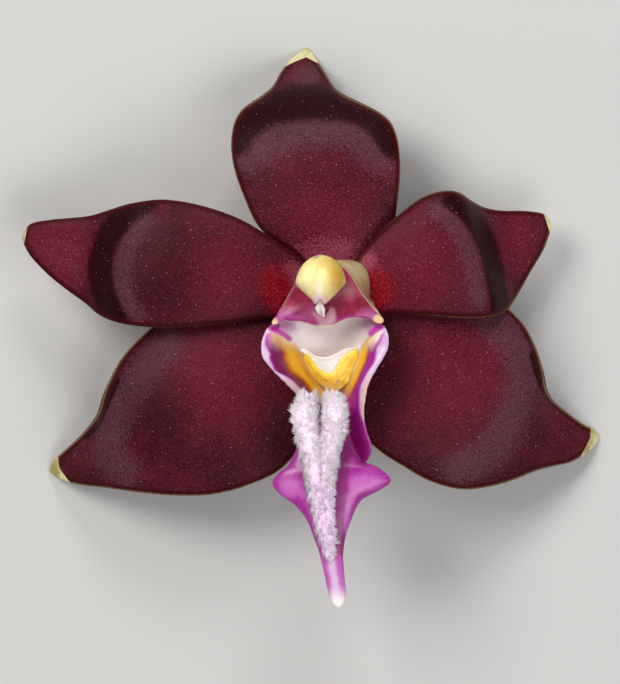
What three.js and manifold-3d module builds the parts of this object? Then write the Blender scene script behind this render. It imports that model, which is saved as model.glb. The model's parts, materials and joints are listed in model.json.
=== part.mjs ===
// One open flower of a vandaceous orchid, as picked and laid face up on a table.
// Five fleshy tepals spread round a short column, and a magenta lip with a yellow throat hangs from its foot.
// Units are millimetres. +Z points out of the flower's face, +Y towards the dorsal sepal, +X to the right.
// The origin is on the table, under the middle of the flower's outline.

import * as THREE from "three";
import { mergeVertices } from "three/addons/utils/BufferGeometryUtils.js";
import Module from "manifold-3d";

const wasm = await Module();
wasm.setup();

// Driving dimensions
const sepalThickness = 0.9;
const petalThickness = 0.85;
const lipWall = 0.75;
const gap = 0.15; // clearance between two pieces that touch in the living flower
const sepalLevel = 8.5; // height of the sepals' bases over the table
const petalLevel = 9.6; // the petals are the inner whorl, so they stand over the sepals
const columnFoot = 10.15;
const ovaryTop = 7.4;
const heart = new THREE.Vector2(1.9, 2.4); // where all the pieces meet, seen from the front
const ground = 0;

// Colours of the living flower
const colours = {
  maroon: "#5c1524",
  magenta: "#a5279b",
  white: "#efe2ee",
  yellow: "#f2b51f",
  rose: "#a43a66",
  cream: "#efdc93",
  green: "#c9c79b",
  wax: "#e3b53a",
};

// Geometry helpers

function splineThrough(points, closed = false) {
  const nodes = points.map(([x, y, z = 0]) => new THREE.Vector3(x, y, z));
  return new THREE.CatmullRomCurve3(nodes, closed, "catmullrom", 0.5);
}

function valueAt(spline, u) {
  return spline.getPoint(THREE.MathUtils.clamp(u, 0, 1));
}

// A closed solid from points and triangles. Triangles that collapse where edges meet are left out.
function solidFrom(points, triangles) {
  const flat = new Float32Array(points.flatMap((p) => [p.x, p.y, p.z]));
  const geometry = new THREE.BufferGeometry();
  geometry.setAttribute("position", new THREE.BufferAttribute(flat, 3));
  geometry.setIndex(triangles.flat());
  return solidOf(geometry);
}

function solidOf(geometry) {
  const bare = geometry.clone();
  bare.deleteAttribute("normal");
  bare.deleteAttribute("uv");
  const merged = mergeVertices(bare, 1e-4);
  const index = merged.index.array;
  const kept = [];
  for (let i = 0; i < index.length; i += 3) {
    const [a, b, c] = index.slice(i, i + 3);
    if (a !== b && b !== c && c !== a) kept.push(a, b, c);
  }
  const make = (triVerts) =>
    new wasm.Manifold(
      new wasm.Mesh({
        numProp: 3,
        vertProperties: merged.attributes.position.array,
        triVerts: new Uint32Array(triVerts),
      }),
    );
  const solid = make(kept);
  return solid.volume() > 0 ? solid : make(kept.reverse());
}

function unionOf(solids) {
  if (solids.length === 1) return solids[0];
  const half = Math.ceil(solids.length / 2);
  return unionOf(solids.slice(0, half)).add(unionOf(solids.slice(half)));
}

// Cuts can leave crumbs behind, so the largest body is kept.
function largestOf(solid) {
  return solid.decompose().reduce((best, next) => (next.volume() > best.volume() ? next : best));
}

// The solid with the clearance between two pieces added all round it
function grown(solid) {
  const shifts = [
    [gap, 0, 0],
    [-gap, 0, 0],
    [0, gap, 0],
    [0, -gap, 0],
    [0, 0, gap],
    [0, 0, -gap],
  ];
  return unionOf([solid, ...shifts.map((shift) => solid.translate(shift))]);
}

function normalOf(surface, u, t) {
  const step = 1e-3;
  const alongU = surface(Math.min(u + step, 1), t).sub(surface(Math.max(u - step, 0), t));
  const alongT = surface(u, Math.min(t + step, 1)).sub(surface(u, Math.max(t - step, -1)));
  return alongU.cross(alongT).normalize();
}

// A curved sheet with a thickness, closed round its rim. The surface takes u from 0 to 1 and t from -1 to 1.
function sheet(surface, thickness, alongSteps, acrossSteps) {
  const points = [];
  for (const side of [0.5, -0.5]) {
    for (let i = 0; i <= alongSteps; i++) {
      for (let j = 0; j <= acrossSteps; j++) {
        const u = i / alongSteps;
        const t = Math.sin((j / acrossSteps - 0.5) * Math.PI);
        const steady = THREE.MathUtils.clamp(u, 0.01, 0.985); // an edge that closes to a point has no normal
        const normal = normalOf(surface, steady, t * 0.98);
        points.push(surface(u, t).addScaledVector(normal, side * thickness(u, t)));
      }
    }
  }
  const row = acrossSteps + 1;
  const under = (alongSteps + 1) * row;
  const faces = [];
  const quad = (a, b, c, d) => faces.push([a, b, c], [a, c, d]);
  for (let i = 0; i < alongSteps; i++) {
    for (let j = 0; j < acrossSteps; j++) {
      const a = i * row + j;
      quad(a, a + row, a + row + 1, a + 1);
      quad(under + a, under + a + 1, under + a + row + 1, under + a + row);
    }
  }
  for (let j = 0; j < acrossSteps; j++) {
    const last = alongSteps * row + j;
    quad(j, j + 1, under + j + 1, under + j);
    quad(last, under + last, under + last + 1, last + 1);
  }
  for (let i = 0; i < alongSteps; i++) {
    const a = i * row;
    const b = a + acrossSteps;
    quad(a, under + a, under + a + row, a + row);
    quad(b, b + row, under + b + row, under + b);
  }
  return solidFrom(points, faces);
}

// A solid skinned over rings of points, closed at both ends by a fan round the ring's middle.
function loft(rings) {
  const count = rings[0].length;
  const points = rings.flat();
  const faces = [];
  for (let i = 0; i + 1 < rings.length; i++) {
    for (let j = 0; j < count; j++) {
      const a = i * count + j;
      const b = i * count + ((j + 1) % count);
      faces.push([a, b, b + count], [a, b + count, a + count]);
    }
  }
  const fan = (ring, start, turn) => {
    const middle = new THREE.Vector3();
    ring.forEach((p) => middle.addScaledVector(p, 1 / count));
    points.push(middle);
    for (let j = 0; j < count; j++) {
      const pair = [start + j, start + ((j + 1) % count)];
      faces.push([points.length - 1, ...(turn ? pair : pair.reverse())]);
    }
  };
  fan(rings[0], 0, false);
  fan(rings.at(-1), (rings.length - 1) * count, true);
  return solidFrom(points, faces);
}

// A domed or dished block over a plan outline: the top face is a height over each point of the plan, and the
// sides run down through the given sections. A section has a height, a scale and shift of the outline, and a
// roundness that draws the outline to a rounded square of the given radii.
function block({ outline, centre, top, sections, sides = 28, ringSteps = 4 }) {
  const spline = splineThrough(outline, true);
  const rim = Array.from({ length: sides }, (_, j) => spline.getPoint(j / sides));
  const onPlan = (p, scale, shift = [0, 0]) => [
    centre[0] + (p.x - centre[0]) * scale + shift[0],
    centre[1] + (p.y - centre[1]) * scale + shift[1],
  ];
  const rings = [];
  for (let i = 1; i <= ringSteps; i++) {
    rings.push(
      rim.map((p) => {
        const [x, y] = onPlan(p, i / ringSteps);
        return new THREE.Vector3(x, y, top(x, y, i / ringSteps));
      }),
    );
  }
  for (const { z, scale, shift = [0, 0], roundness = 0, radii = [1, 1] } of sections) {
    rings.push(
      rim.map((p) => {
        const angle = Math.atan2(p.y - centre[1], p.x - centre[0]);
        const [cos, sin] = [Math.cos(angle), Math.sin(angle)];
        const reach = (Math.abs(cos) ** 3 + Math.abs(sin) ** 3) ** (-1 / 3);
        const round = [cos, sin].map((c, k) => centre[k] + shift[k] + reach * c * radii[k]);
        const own = onPlan(p, scale, shift);
        const [x, y] = [0, 1].map((k) => THREE.MathUtils.lerp(own[k], round[k], roundness));
        return new THREE.Vector3(x, y, z);
      }),
    );
  }
  return loft(rings);
}

function boxBetween(low, high) {
  const size = high.map((value, i) => value - low[i]);
  const middle = high.map((value, i) => (value + low[i]) / 2);
  return solidOf(new THREE.BoxGeometry(...size).translate(...middle));
}

function ellipsoid(centre, radii, around = 20, down = 14) {
  const ball = new THREE.SphereGeometry(1, around, down);
  return solidOf(ball.scale(...radii).translate(...centre));
}

const table = boxBetween([-40, -40, -9], [40, 40, ground]);

function roundedRim(amount) {
  return (t) => Math.sqrt(Math.max(0, 1 - Math.abs(t) ** amount));
}

// Tepals
// Stations run from the base of a tepal to its tip. Each row holds the first edge's x and y, the second
// edge's x and y, the height of the midline over the tepal's level, and how far each edge drops below it.

const tepals = {
  dorsal_sepal: {
    level: sepalLevel,
    thickness: sepalThickness,
    stations: [
      [0.1, 4.4, 3.6, 4.4, 0.0, 0.0, 0.0],
      [-1.2, 6.2, 4.5, 6.2, 0.2, 0.2, 0.2],
      [-4.3, 8.5, 6.9, 8.3, 0.6, 0.6, 0.5],
      [-5.75, 11.2, 7.55, 11.3, 0.8, 0.9, 0.7],
      [-6.8, 14.4, 7.75, 14.3, 0.6, 1.1, 0.8],
      [-6.85, 17.0, 7.35, 16.9, -0.1, 1.2, 0.9],
      [-6.1, 18.8, 6.2, 18.5, -1.3, 1.1, 0.9],
      [-4.3, 20.1, 3.0, 20.1, -3.0, 0.7, 0.6],
      [-3.35, 20.95, 2.0, 20.9, -4.5, 0.4, 0.4],
      [-2.6, 22.3, 1.25, 22.1, -6.5, 0.2, 0.2],
      [-1.7, 23.4, 0.6, 23.1, -7.9, 0.1, 0.1],
      [-0.25, 24.45, -0.25, 24.45, -8.75, 0.0, 0.0],
    ],
  },
  petal_left: {
    level: petalLevel,
    thickness: petalThickness,
    stations: [
      [0.4, 4.1, 0.2, 1.4, 0.0, 0.0, 0.0],
      [-0.8, 5.95, -2.3, 0.9, 0.2, 0.1, 0.1],
      [-3.4, 7.75, -5.3, 0.65, 0.7, 0.5, 0.4],
      [-6.3, 9.45, -8.1, 0.3, 1.1, 0.8, 0.7],
      [-9.65, 10.6, -11.2, 0.05, 1.2, 1.0, 0.8],
      [-12.8, 11.1, -14.0, 0.05, 0.9, 1.0, 0.8],
      [-15.5, 10.8, -16.6, 0.4, 0.0, 0.7, 0.6],
      [-17.6, 10.2, -18.3, 1.05, -1.8, 0.3, 0.4],
      [-19.2, 9.75, -19.6, 2.1, -3.1, 0.0, 0.1],
      [-21.0, 9.55, -21.3, 3.3, -3.7, -0.2, 0.0],
      [-22.7, 9.4, -22.9, 4.6, -4.0, -0.1, 0.0],
      [-24.5, 9.0, -24.5, 6.3, -4.2, 0.0, 0.0],
      [-25.15, 7.8, -25.15, 7.8, -4.4, 0.0, 0.0],
    ],
  },
  petal_right: {
    level: petalLevel,
    thickness: petalThickness,
    stations: [
      [3.3, 4.3, 3.5, 1.6, 0.0, 0.0, 0.0],
      [4.1, 6.1, 5.3, 1.2, 0.2, 0.1, 0.1],
      [5.75, 8.05, 7.3, 1.2, 0.8, 0.4, 0.4],
      [7.9, 10.0, 9.9, 1.1, 1.4, 0.8, 0.7],
      [9.8, 11.35, 12.3, 0.9, 1.7, 1.0, 0.9],
      [11.6, 11.85, 14.4, 0.85, 1.5, 1.1, 1.0],
      [12.8, 11.7, 15.9, 1.05, 0.5, 0.8, 0.9],
      [13.9, 11.0, 16.95, 1.45, -1.6, 0.4, 0.6],
      [15.05, 10.45, 17.6, 2.3, -3.5, 0.1, 0.3],
      [16.6, 10.2, 18.35, 3.5, -4.7, -0.1, 0.1],
      [18.35, 10.2, 19.2, 5.0, -5.3, -0.1, 0.0],
      [19.85, 10.05, 20.1, 6.5, -5.7, 0.0, 0.0],
      [20.6, 9.7, 20.6, 7.8, -5.9, 0.0, 0.0],
      [20.9, 8.8, 20.9, 8.8, -6.0, 0.0, 0.0],
    ],
  },
  lateral_sepal_left: {
    level: sepalLevel,
    thickness: sepalThickness,
    stations: [
      [-0.2, 1.3, 0.9, -3.9, 0.0, 0.0, 0.0],
      [-2.7, 2.4, -0.1, -8.7, 0.3, 0.5, 0.5],
      [-6.2, 2.4, -2.4, -12.1, 0.5, 0.9, 0.9],
      [-9.65, 1.9, -5.5, -13.7, 0.4, 1.2, 1.2],
      [-12.4, 1.0, -8.6, -14.5, 0.0, 1.3, 1.4],
      [-14.5, -0.6, -11.7, -14.6, -0.6, 1.3, 1.4],
      [-16.4, -2.65, -14.35, -14.4, -1.5, 1.2, 1.2],
      [-17.8, -5.35, -16.8, -14.1, -2.8, 0.9, 0.9],
      [-18.5, -7.5, -18.35, -13.9, -4.3, 0.6, 0.6],
      [-19.85, -9.25, -19.9, -13.75, -5.9, 0.3, 0.3],
      [-21.3, -10.6, -21.3, -13.45, -7.2, 0.1, 0.1],
      [-22.35, -11.6, -22.2, -13.0, -8.2, 0.0, 0.0],
      [-22.85, -12.5, -22.85, -12.5, -8.6, 0.0, 0.0],
    ],
  },
  lateral_sepal_right: {
    level: sepalLevel,
    thickness: sepalThickness,
    stations: [
      [3.4, 1.3, 2.5, -4.1, 0.0, 0.0, 0.0],
      [6.4, 2.6, 3.9, -8.5, 0.3, 0.5, 0.5],
      [9.9, 3.1, 5.8, -10.6, 0.5, 0.9, 0.9],
      [13.1, 3.1, 8.1, -12.1, 0.4, 1.2, 1.2],
      [16.0, 2.4, 10.35, -13.35, 0.0, 1.4, 1.3],
      [18.2, 0.6, 12.95, -14.05, -0.6, 1.4, 1.3],
      [19.4, -1.45, 15.4, -13.85, -1.5, 1.2, 1.2],
      [20.1, -3.6, 17.6, -13.25, -2.6, 0.9, 1.0],
      [20.4, -5.25, 19.5, -12.5, -3.8, 0.7, 0.7],
      [21.05, -6.4, 21.05, -12.1, -5.0, 0.4, 0.4],
      [22.35, -7.45, 22.5, -11.8, -6.3, 0.2, 0.2],
      [23.7, -8.45, 23.8, -11.1, -7.4, 0.1, 0.1],
      [24.6, -8.9, 24.7, -10.3, -8.3, 0.0, 0.0],
      [25.15, -9.5, 25.15, -9.5, -8.65, 0.0, 0.0],
    ],
  },
};

function bladeSurface({ stations, level }) {
  const columns = (...picked) => splineThrough(stations.map((row) => picked.map((k) => row[k])));
  const firstEdge = columns(0, 1);
  const secondEdge = columns(2, 3);
  const heights = columns(4, 5, 6);
  return (u, t) => {
    const height = valueAt(heights, u);
    const drop = t < 0 ? height.y : height.z;
    const point = valueAt(firstEdge, u).lerp(valueAt(secondEdge, u), (t + 1) / 2);
    point.z = level + height.x - drop * t * t;
    return point;
  };
}

function tepal(shape) {
  const acrossRim = roundedRim(6);
  const tipRim = roundedRim(24);
  const thickness = (u, t) => shape.thickness * acrossRim(t) * tipRim(u);
  return sheet(bladeSurface(shape), thickness, 26, 10).subtract(table);
}

// Ovary and pedicel: six low ribs on a stalk that leaves the heart downwards and bends to lie on the table

const ovary = {
  path: [
    [heart.x, heart.y, ovaryTop],
    [1.9, 2.3, 6.4],
    [2.1, 0.9, 4.1],
    [2.3, -2.2, 2.2],
    [2.1, -5.8, 1.6],
    [1.8, -9.6, 1.35],
    [1.5, -13.4, 1.2],
  ],
  radii: [2.9, 2.1, 1.85, 1.8, 1.6, 1.35, 1.3],
  ribs: 6,
  ribDepth: 0.07,
  core: 1.45, // radius of the middle, which runs up between the bases of the tepals to the column
};

function ovaryStalk(neighbours) {
  const steps = 22;
  const sides = 24;
  const path = splineThrough(ovary.path);
  const radii = splineThrough(ovary.radii.map((r, i) => [r, i]));
  const rings = [];
  for (let i = 0; i <= steps; i++) {
    const u = i / steps;
    const centre = valueAt(path, u);
    const along = path.getTangent(u);
    const across = new THREE.Vector3(1, 0, 0).addScaledVector(along, -along.x).normalize();
    const upward = new THREE.Vector3().crossVectors(along, across);
    const twist = u * 0.9;
    rings.push(
      Array.from({ length: sides }, (_, j) => {
        const angle = (j / sides) * 2 * Math.PI;
        const rib = 1 + ovary.ribDepth * Math.cos(ovary.ribs * (angle + twist));
        const r = valueAt(radii, u).x * rib;
        return centre
          .clone()
          .addScaledVector(across, r * Math.cos(angle))
          .addScaledVector(upward, r * Math.sin(angle));
      }),
    );
  }
  const height = columnFoot - gap - ovaryTop + 1;
  const core = new THREE.CylinderGeometry(ovary.core * 0.9, ovary.core, height, 20);
  core.rotateX(Math.PI / 2).translate(heart.x, heart.y + 0.4, columnFoot - gap - height / 2);
  return largestOf(loft(rings).add(solidOf(core)).subtract(table).subtract(grown(unionOf(neighbours))));
}

// Column: a hood with a broad waved lower rim, on a trunk that slants back to the ovary

const column = {
  outline: [
    [0.9, 5.7],
    [-0.7, 5.1],
    [-1.9, 3.1],
    [-3.45, 0.45],
    [-2.2, 0.95],
    [-1.2, 0.6],
    [0.0, 0.35],
    [1.3, 0.05],
    [2.5, 0.45],
    [3.6, 0.85],
    [4.9, 0.95],
    [6.35, 0.65],
    [4.4, 2.7],
    [3.0, 5.1],
  ],
  centre: [1.4, 2.6],
  shoulder: 14.35,
  rimDepth: 1.2,
  foot: [2.45, 2.6],
  stigma: { centre: [1.4, 1.1, 12.1], radii: [1.7, 1.5, 0.8] },
};

// The hood's face is highest along the middle and falls towards its two lower corners.
function columnFace(x, y, r) {
  const fromMiddle = Math.abs(x - column.centre[0]);
  const corner = THREE.MathUtils.smoothstep(fromMiddle, 1.8, 4.8);
  return column.shoulder - 0.6 * corner - 0.25 * r ** 4;
}

function columnBody(neighbours) {
  const body = block({
    outline: column.outline,
    centre: column.centre,
    top: columnFace,
    sections: [
      { z: column.shoulder - column.rimDepth, scale: 0.97, shift: [0.15, 0.08] },
      { z: 12.5, scale: 0.8, shift: [0.7, 0.7], roundness: 0.3, radii: column.foot },
      { z: 11.3, scale: 0.7, shift: [1.15, 0.7], roundness: 0.8, radii: column.foot },
      { z: columnFoot, scale: 0.7, shift: [1.3, 0.7], roundness: 1, radii: column.foot },
    ],
    sides: 40,
  });
  const { centre, radii } = column.stigma;
  return largestOf(body.subtract(ellipsoid(centre, radii)).subtract(grown(unionOf(neighbours))));
}

// Anther cap: a hollow helmet with its beak towards the lip, and the pollinia that it covers

const cap = {
  outline: [
    [0.85, 6.3],
    [-0.35, 5.85],
    [-1.15, 4.8],
    [-1.3, 3.75],
    [-0.4, 2.75],
    [0.45, 2.1],
    [1.1, 1.75],
    [1.75, 2.1],
    [2.35, 2.85],
    [2.95, 3.9],
    [2.75, 5.0],
    [1.95, 5.95],
  ],
  centre: [0.85, 4.2],
  bottom: 14.55,
  height: 2.1,
};

function capFace(x, y, r) {
  const beak = THREE.MathUtils.smoothstep(cap.centre[1] - y, 0.4, 2.4);
  return cap.bottom + 0.25 + (cap.height - 0.9 * beak) * Math.sqrt(1 - r ** 3);
}

function antherCap() {
  const helmet = block({
    outline: cap.outline,
    centre: cap.centre,
    top: capFace,
    sections: [{ z: cap.bottom, scale: 0.94 }],
    ringSteps: 6,
  });
  const hollow = ellipsoid([0.85, 4.3, cap.bottom], [1.45, 1.35, 1.35], 16, 10);
  return helmet.subtract(hollow);
}

// Two waxy pollinia on a strap, which runs out under the beak and ends in a small pale lance
function pollinarium() {
  const level = cap.bottom + 0.5;
  const halves = [0.4, 1.3].map((x) => ellipsoid([x, 4.35, level], [0.42, 0.62, 0.42], 12, 8));
  const strap = new THREE.Shape();
  strap.moveTo(0.7, 4.3);
  strap.lineTo(0.8, 2.5);
  strap.lineTo(0.72, 1.75);
  strap.lineTo(1.35, 0.75);
  strap.lineTo(1.72, 1.75);
  strap.lineTo(1.25, 2.5);
  strap.lineTo(1.0, 4.3);
  const lance = new THREE.ExtrudeGeometry(strap, { depth: 0.3, bevelEnabled: false });
  const bar = boxBetween([0.4, 4.2, level - 0.15], [1.3, 4.5, level + 0.15]);
  return unionOf([...halves, bar, solidOf(lance.translate(0, 0, cap.bottom + 0.15))]);
}

// Lip
// Throat stations run down the lip. Each row holds y, the x of the left and right rims, and the heights of
// rim and floor.

const throat = {
  stations: [
    [1.2, -1.5, 4.6, 11.7, 11.3],
    [0.4, -3.0, 5.9, 12.4, 11.1],
    [-0.4, -3.95, 6.6, 13.4, 11.0],
    [-1.6, -4.3, 6.7, 13.9, 10.9],
    [-2.7, -4.15, 6.5, 14.1, 10.8],
    [-3.8, -3.25, 5.95, 14.1, 10.8],
    [-4.9, -2.1, 5.35, 13.9, 10.8],
    [-6.0, -1.1, 5.0, 13.6, 10.8],
    [-7.5, -0.9, 4.7, 13.1, 10.8],
    [-9.0, -1.1, 4.95, 12.6, 10.8],
    [-10.4, -1.2, 5.3, 12.2, 10.9],
    [-11.6, -0.6, 4.8, 11.9, 11.0],
    [-12.5, 1.0, 3.4, 11.6, 11.3],
  ],
};

// Across the throat the wall rises to a crest and rolls outwards at the rim.
function throatSurface(u, t) {
  const pick = (...k) => splineThrough(throat.stations.map((row) => k.map((i) => row[i])));
  throat.plan ??= pick(0, 1, 2);
  throat.heights ??= pick(3, 4);
  const plan = valueAt(throat.plan, u);
  const { x: rim, y: floor } = valueAt(throat.heights, u);
  const rise = Math.abs(t) ** 3 * (1.9 - 0.9 * t ** 4);
  const x = THREE.MathUtils.lerp(plan.y, plan.z, (t + 1) / 2);
  return new THREE.Vector3(x, plan.x, floor + (rim - floor) * rise);
}

const midlobe = {
  level: 14.6,
  thickness: 1.0,
  stations: [
    [-0.6, -7.0, 3.4, -7.2, -1.6, 0.0, 0.0],
    [-0.9, -8.7, 3.3, -8.9, -0.5, 0.3, 0.4],
    [-1.25, -10.4, 3.85, -10.7, 0.2, 0.4, 0.7],
    [-2.0, -12.0, 4.8, -11.85, 0.5, 0.5, 0.8],
    [-2.85, -12.65, 5.9, -12.25, 0.6, 0.6, 0.7],
    [-3.35, -13.4, 6.95, -13.2, 0.6, 0.7, 0.6],
    [-2.9, -14.3, 6.2, -13.9, 0.6, 0.6, 0.7],
    [-1.4, -15.4, 4.5, -14.75, 0.6, 0.5, 0.8],
    [-0.4, -16.6, 3.65, -16.1, 0.6, 0.4, 0.7],
    [0.2, -18.0, 2.95, -18.0, 0.5, 0.3, 0.5],
    [0.75, -19.5, 2.7, -19.7, 0.5, 0.2, 0.3],
    [1.2, -21.2, 2.8, -21.4, 0.5, 0.2, 0.2],
    [1.55, -23.1, 3.0, -23.0, 0.6, 0.1, 0.1],
    [1.8, -24.0, 2.95, -23.85, 0.7, 0.0, 0.0],
    [2.4, -24.45, 2.4, -24.45, 0.7, 0.0, 0.0],
  ],
};

// The keel rises from the throat's floor and carries the brush.
const keel = {
  outline: [
    [0.9, -6.3],
    [-0.8, -6.9],
    [-1.3, -8.6],
    [-1.1, -10.8],
    [-0.3, -12.8],
    [0.9, -14.2],
    [2.2, -12.8],
    [2.9, -10.8],
    [3.0, -8.6],
    [2.6, -6.9],
  ],
  centre: [0.95, -9.8],
  top: 15.4,
  sections: [
    { z: 14.3, scale: 0.97 },
    { z: 12.4, scale: 0.8, shift: [0.4, 0.2] },
    { z: 11.0, scale: 0.66, shift: [0.7, 0.3] },
  ],
  sides: 20,
  ringSteps: 3,
};

function lip(columnSolid) {
  const rim = roundedRim(6);
  const bowl = sheet(throatSurface, (u, t) => lipWall * Math.max(0.3, rim(t)), 20, 14);
  const tipRim = roundedRim(24);
  const fleshy = (u, t) => (midlobe.thickness + 0.5 * u ** 3) * rim(t) * tipRim(u);
  const blade = sheet(bladeSurface(midlobe), fleshy, 26, 10);
  const { top, ...plan } = keel;
  const ridge = block({ ...plan, top: (x, y) => top - 0.12 * (x - keel.centre[0]) ** 2 });
  return largestOf(unionOf([bowl, blade, ridge]).subtract(grown(columnSolid)));
}

// Yellow callus across the throat, with a saw-toothed notch towards the column

const callus = {
  outerEdge: [
    [3.5, -1.8],
    [3.75, -2.5],
    [3.35, -4.0],
    [2.6, -5.2],
    [1.7, -6.1],
    [0.8, -5.3],
    [-0.1, -4.0],
    [-0.75, -2.7],
    [-0.7, -1.9],
  ],
  notch: [0.95, 1.85, -3.75], // the notch's floor, from x to x at y
  teeth: 7, // on each arm of the notch
  toothDepth: 0.16,
  crest: 12.9,
  slope: 0.3, // fall of its face down the lip
  top: -1.8,
  thinnest: 0.5,
};

function callusOutline() {
  const [floorLeft, floorRight, floorY] = callus.notch;
  const start = callus.outerEdge[0];
  const end = callus.outerEdge.at(-1);
  const arm = ([x0, y0], [x1, y1]) => {
    const along = new THREE.Vector2(x1 - x0, y1 - y0);
    const inward = new THREE.Vector2(0, -1).multiplyScalar(callus.toothDepth);
    return Array.from({ length: callus.teeth * 2 }, (_, i) => {
      const point = new THREE.Vector2(x0, y0).addScaledVector(along, (i + 0.5) / (callus.teeth * 2));
      return i % 2 ? point : point.add(inward);
    });
  };
  const outer = callus.outerEdge.map(([x, y]) => new THREE.Vector2(x, y));
  return [...outer, ...arm(end, [floorLeft, floorY]), ...arm([floorRight, floorY], start)];
}

// Height of the throat's inner face over a point of the plan
function throatFloor(x, y) {
  let low = 0;
  let high = 1;
  for (let i = 0; i < 20; i++) {
    const u = (low + high) / 2;
    if (throatSurface(u, 0).y > y) low = u;
    else high = u;
  }
  const left = throatSurface(low, -1).x;
  const right = throatSurface(low, 1).x;
  const t = THREE.MathUtils.clamp(((x - left) / (right - left)) * 2 - 1, -1, 1);
  return throatSurface(low, t).z + lipWall / 2;
}

function throatCallus(lipSolid) {
  const raw = new THREE.ExtrudeGeometry(new THREE.Shape(callusOutline()), { depth: 1, bevelEnabled: false });
  const points = raw.attributes.position;
  for (let i = 0; i < points.count; i++) {
    const [x, y, z] = [points.getX(i), points.getY(i), points.getZ(i)];
    const face = callus.crest - callus.slope * THREE.MathUtils.clamp(callus.top - y, 0, 5);
    points.setZ(i, z > 0.5 ? face : Math.min(throatFloor(x, y) + gap, face - callus.thinnest));
  }
  return largestOf(solidOf(raw).subtract(grown(lipSolid)));
}

// Brush of white hairs on the keel: two pads side by side that run into one crest down the midlobe

const brush = {
  pads: [
    {
      path: [
        [-0.3, -5.9, 15.8],
        [-0.5, -7.3, 16.6],
        [-0.4, -9.0, 16.7],
        [0.0, -10.8, 16.4],
        [0.55, -13.0, 16.1],
        [1.0, -15.2, 15.9],
        [1.4, -17.4, 15.75],
        [1.8, -19.9, 15.7],
      ],
      radii: [0.45, 0.95, 1.0, 1.0, 1.0, 0.85, 0.7, 0.25],
    },
    {
      path: [
        [1.95, -5.9, 15.8],
        [2.15, -7.3, 16.6],
        [2.1, -9.0, 16.7],
        [1.85, -10.8, 16.4],
        [1.55, -13.0, 16.1],
        [1.45, -15.6, 15.7],
      ],
      radii: [0.45, 0.9, 0.9, 0.95, 0.9, 0.4],
    },
  ],
  sides: 10,
  rows: 0.46, // spacing of the rows of hairs along a pad
  hairsPerRow: 6,
  hairLength: 0.75,
  hairRoot: 0.11,
};

// Repeatable random numbers between -1 and 1
function seeded(seed) {
  let state = seed;
  return () => {
    state = (state * 16807) % 2147483647;
    return (state / 2147483647) * 2 - 1;
  };
}

function padFrame(pad) {
  pad.curve ??= splineThrough(pad.path);
  pad.width ??= splineThrough(pad.radii.map((r, i) => [r, i]));
  return (u) => {
    const along = pad.curve.getTangent(u);
    const across = new THREE.Vector3(1, 0, 0).addScaledVector(along, -along.x).normalize();
    const upward = new THREE.Vector3().crossVectors(along, across);
    return { centre: valueAt(pad.curve, u), along, across, upward, radius: valueAt(pad.width, u).x };
  };
}

function padBody(pad) {
  const steps = 14;
  const frame = padFrame(pad);
  const rings = [];
  for (let i = 0; i <= steps; i++) {
    const { centre, across, upward, radius } = frame(i / steps);
    rings.push(
      Array.from({ length: brush.sides }, (_, j) => {
        const angle = (j / brush.sides) * 2 * Math.PI;
        return centre
          .clone()
          .addScaledVector(across, radius * Math.cos(angle))
          .addScaledVector(upward, radius * Math.sin(angle));
      }),
    );
  }
  return loft(rings);
}

// A hair is a three-sided spike with its root sunk into the pad.
function hair(root, direction, length) {
  const side = new THREE.Vector3(0.31, 0.87, 0.38).cross(direction).normalize();
  const other = direction.clone().cross(side);
  const foot = [0, 1, 2].map((k) => {
    const angle = (k / 3) * 2 * Math.PI;
    return root
      .clone()
      .addScaledVector(side, brush.hairRoot * Math.cos(angle))
      .addScaledVector(other, brush.hairRoot * Math.sin(angle));
  });
  const tip = root.clone().addScaledVector(direction, length);
  return solidFrom(
    [...foot, tip],
    [
      [0, 2, 1],
      [0, 1, 3],
      [1, 2, 3],
      [2, 0, 3],
    ],
  );
}

function padHairs(pad, random) {
  const frame = padFrame(pad);
  const rows = Math.round(pad.curve.getLength() / brush.rows);
  const hairs = [];
  for (let i = 0; i <= rows; i++) {
    for (let j = 0; j < brush.hairsPerRow; j++) {
      const u = THREE.MathUtils.clamp((i + 0.4 * random()) / rows, 0, 1);
      const { centre, along, across, upward, radius } = frame(u);
      const shift = i % 2 ? 0.25 : -0.25;
      const angle = ((j + 0.5 + shift + 0.2 * random()) / brush.hairsPerRow) * Math.PI;
      const outward = across.multiplyScalar(Math.cos(angle)).addScaledVector(upward, Math.sin(angle));
      const lean = THREE.MathUtils.lerp(-0.5, 0.9, Math.min(1, u * 2.5));
      const direction = outward.clone().addScaledVector(along, lean + 0.25 * random());
      direction.addScaledVector(new THREE.Vector3(random(), random(), random()), 0.2).normalize();
      const root = centre.addScaledVector(outward, radius * 0.8);
      const full = THREE.MathUtils.lerp(1, 0.55, u);
      hairs.push(hair(root, direction, brush.hairLength * full + radius * 0.2));
    }
  }
  return hairs;
}

function lipBrush(lipSolid) {
  const random = seeded(2081);
  const pieces = brush.pads.flatMap((pad) => [padBody(pad), ...padHairs(pad, random)]);
  return largestOf(unionOf(pieces).subtract(grown(lipSolid)));
}

const { white, magenta, yellow, maroon, rose, cream, green, wax } = colours;

function part(name, solid, colour, roughness) {
  const { numProp, vertProperties, triVerts } = solid.getMesh();
  const positions = new Float32Array(triVerts.length * 3);
  triVerts.forEach((vertex, i) => {
    positions.set(vertProperties.subarray(vertex * numProp, vertex * numProp + 3), i * 3);
  });
  const geometry = new THREE.BufferGeometry();
  geometry.setAttribute("position", new THREE.BufferAttribute(positions, 3));
  geometry.computeVertexNormals();
  const material = new THREE.MeshStandardMaterial({ color: colour, roughness, metalness: 0 });
  const mesh = new THREE.Mesh(geometry, material);
  mesh.name = name;
  return mesh;
}

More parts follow.
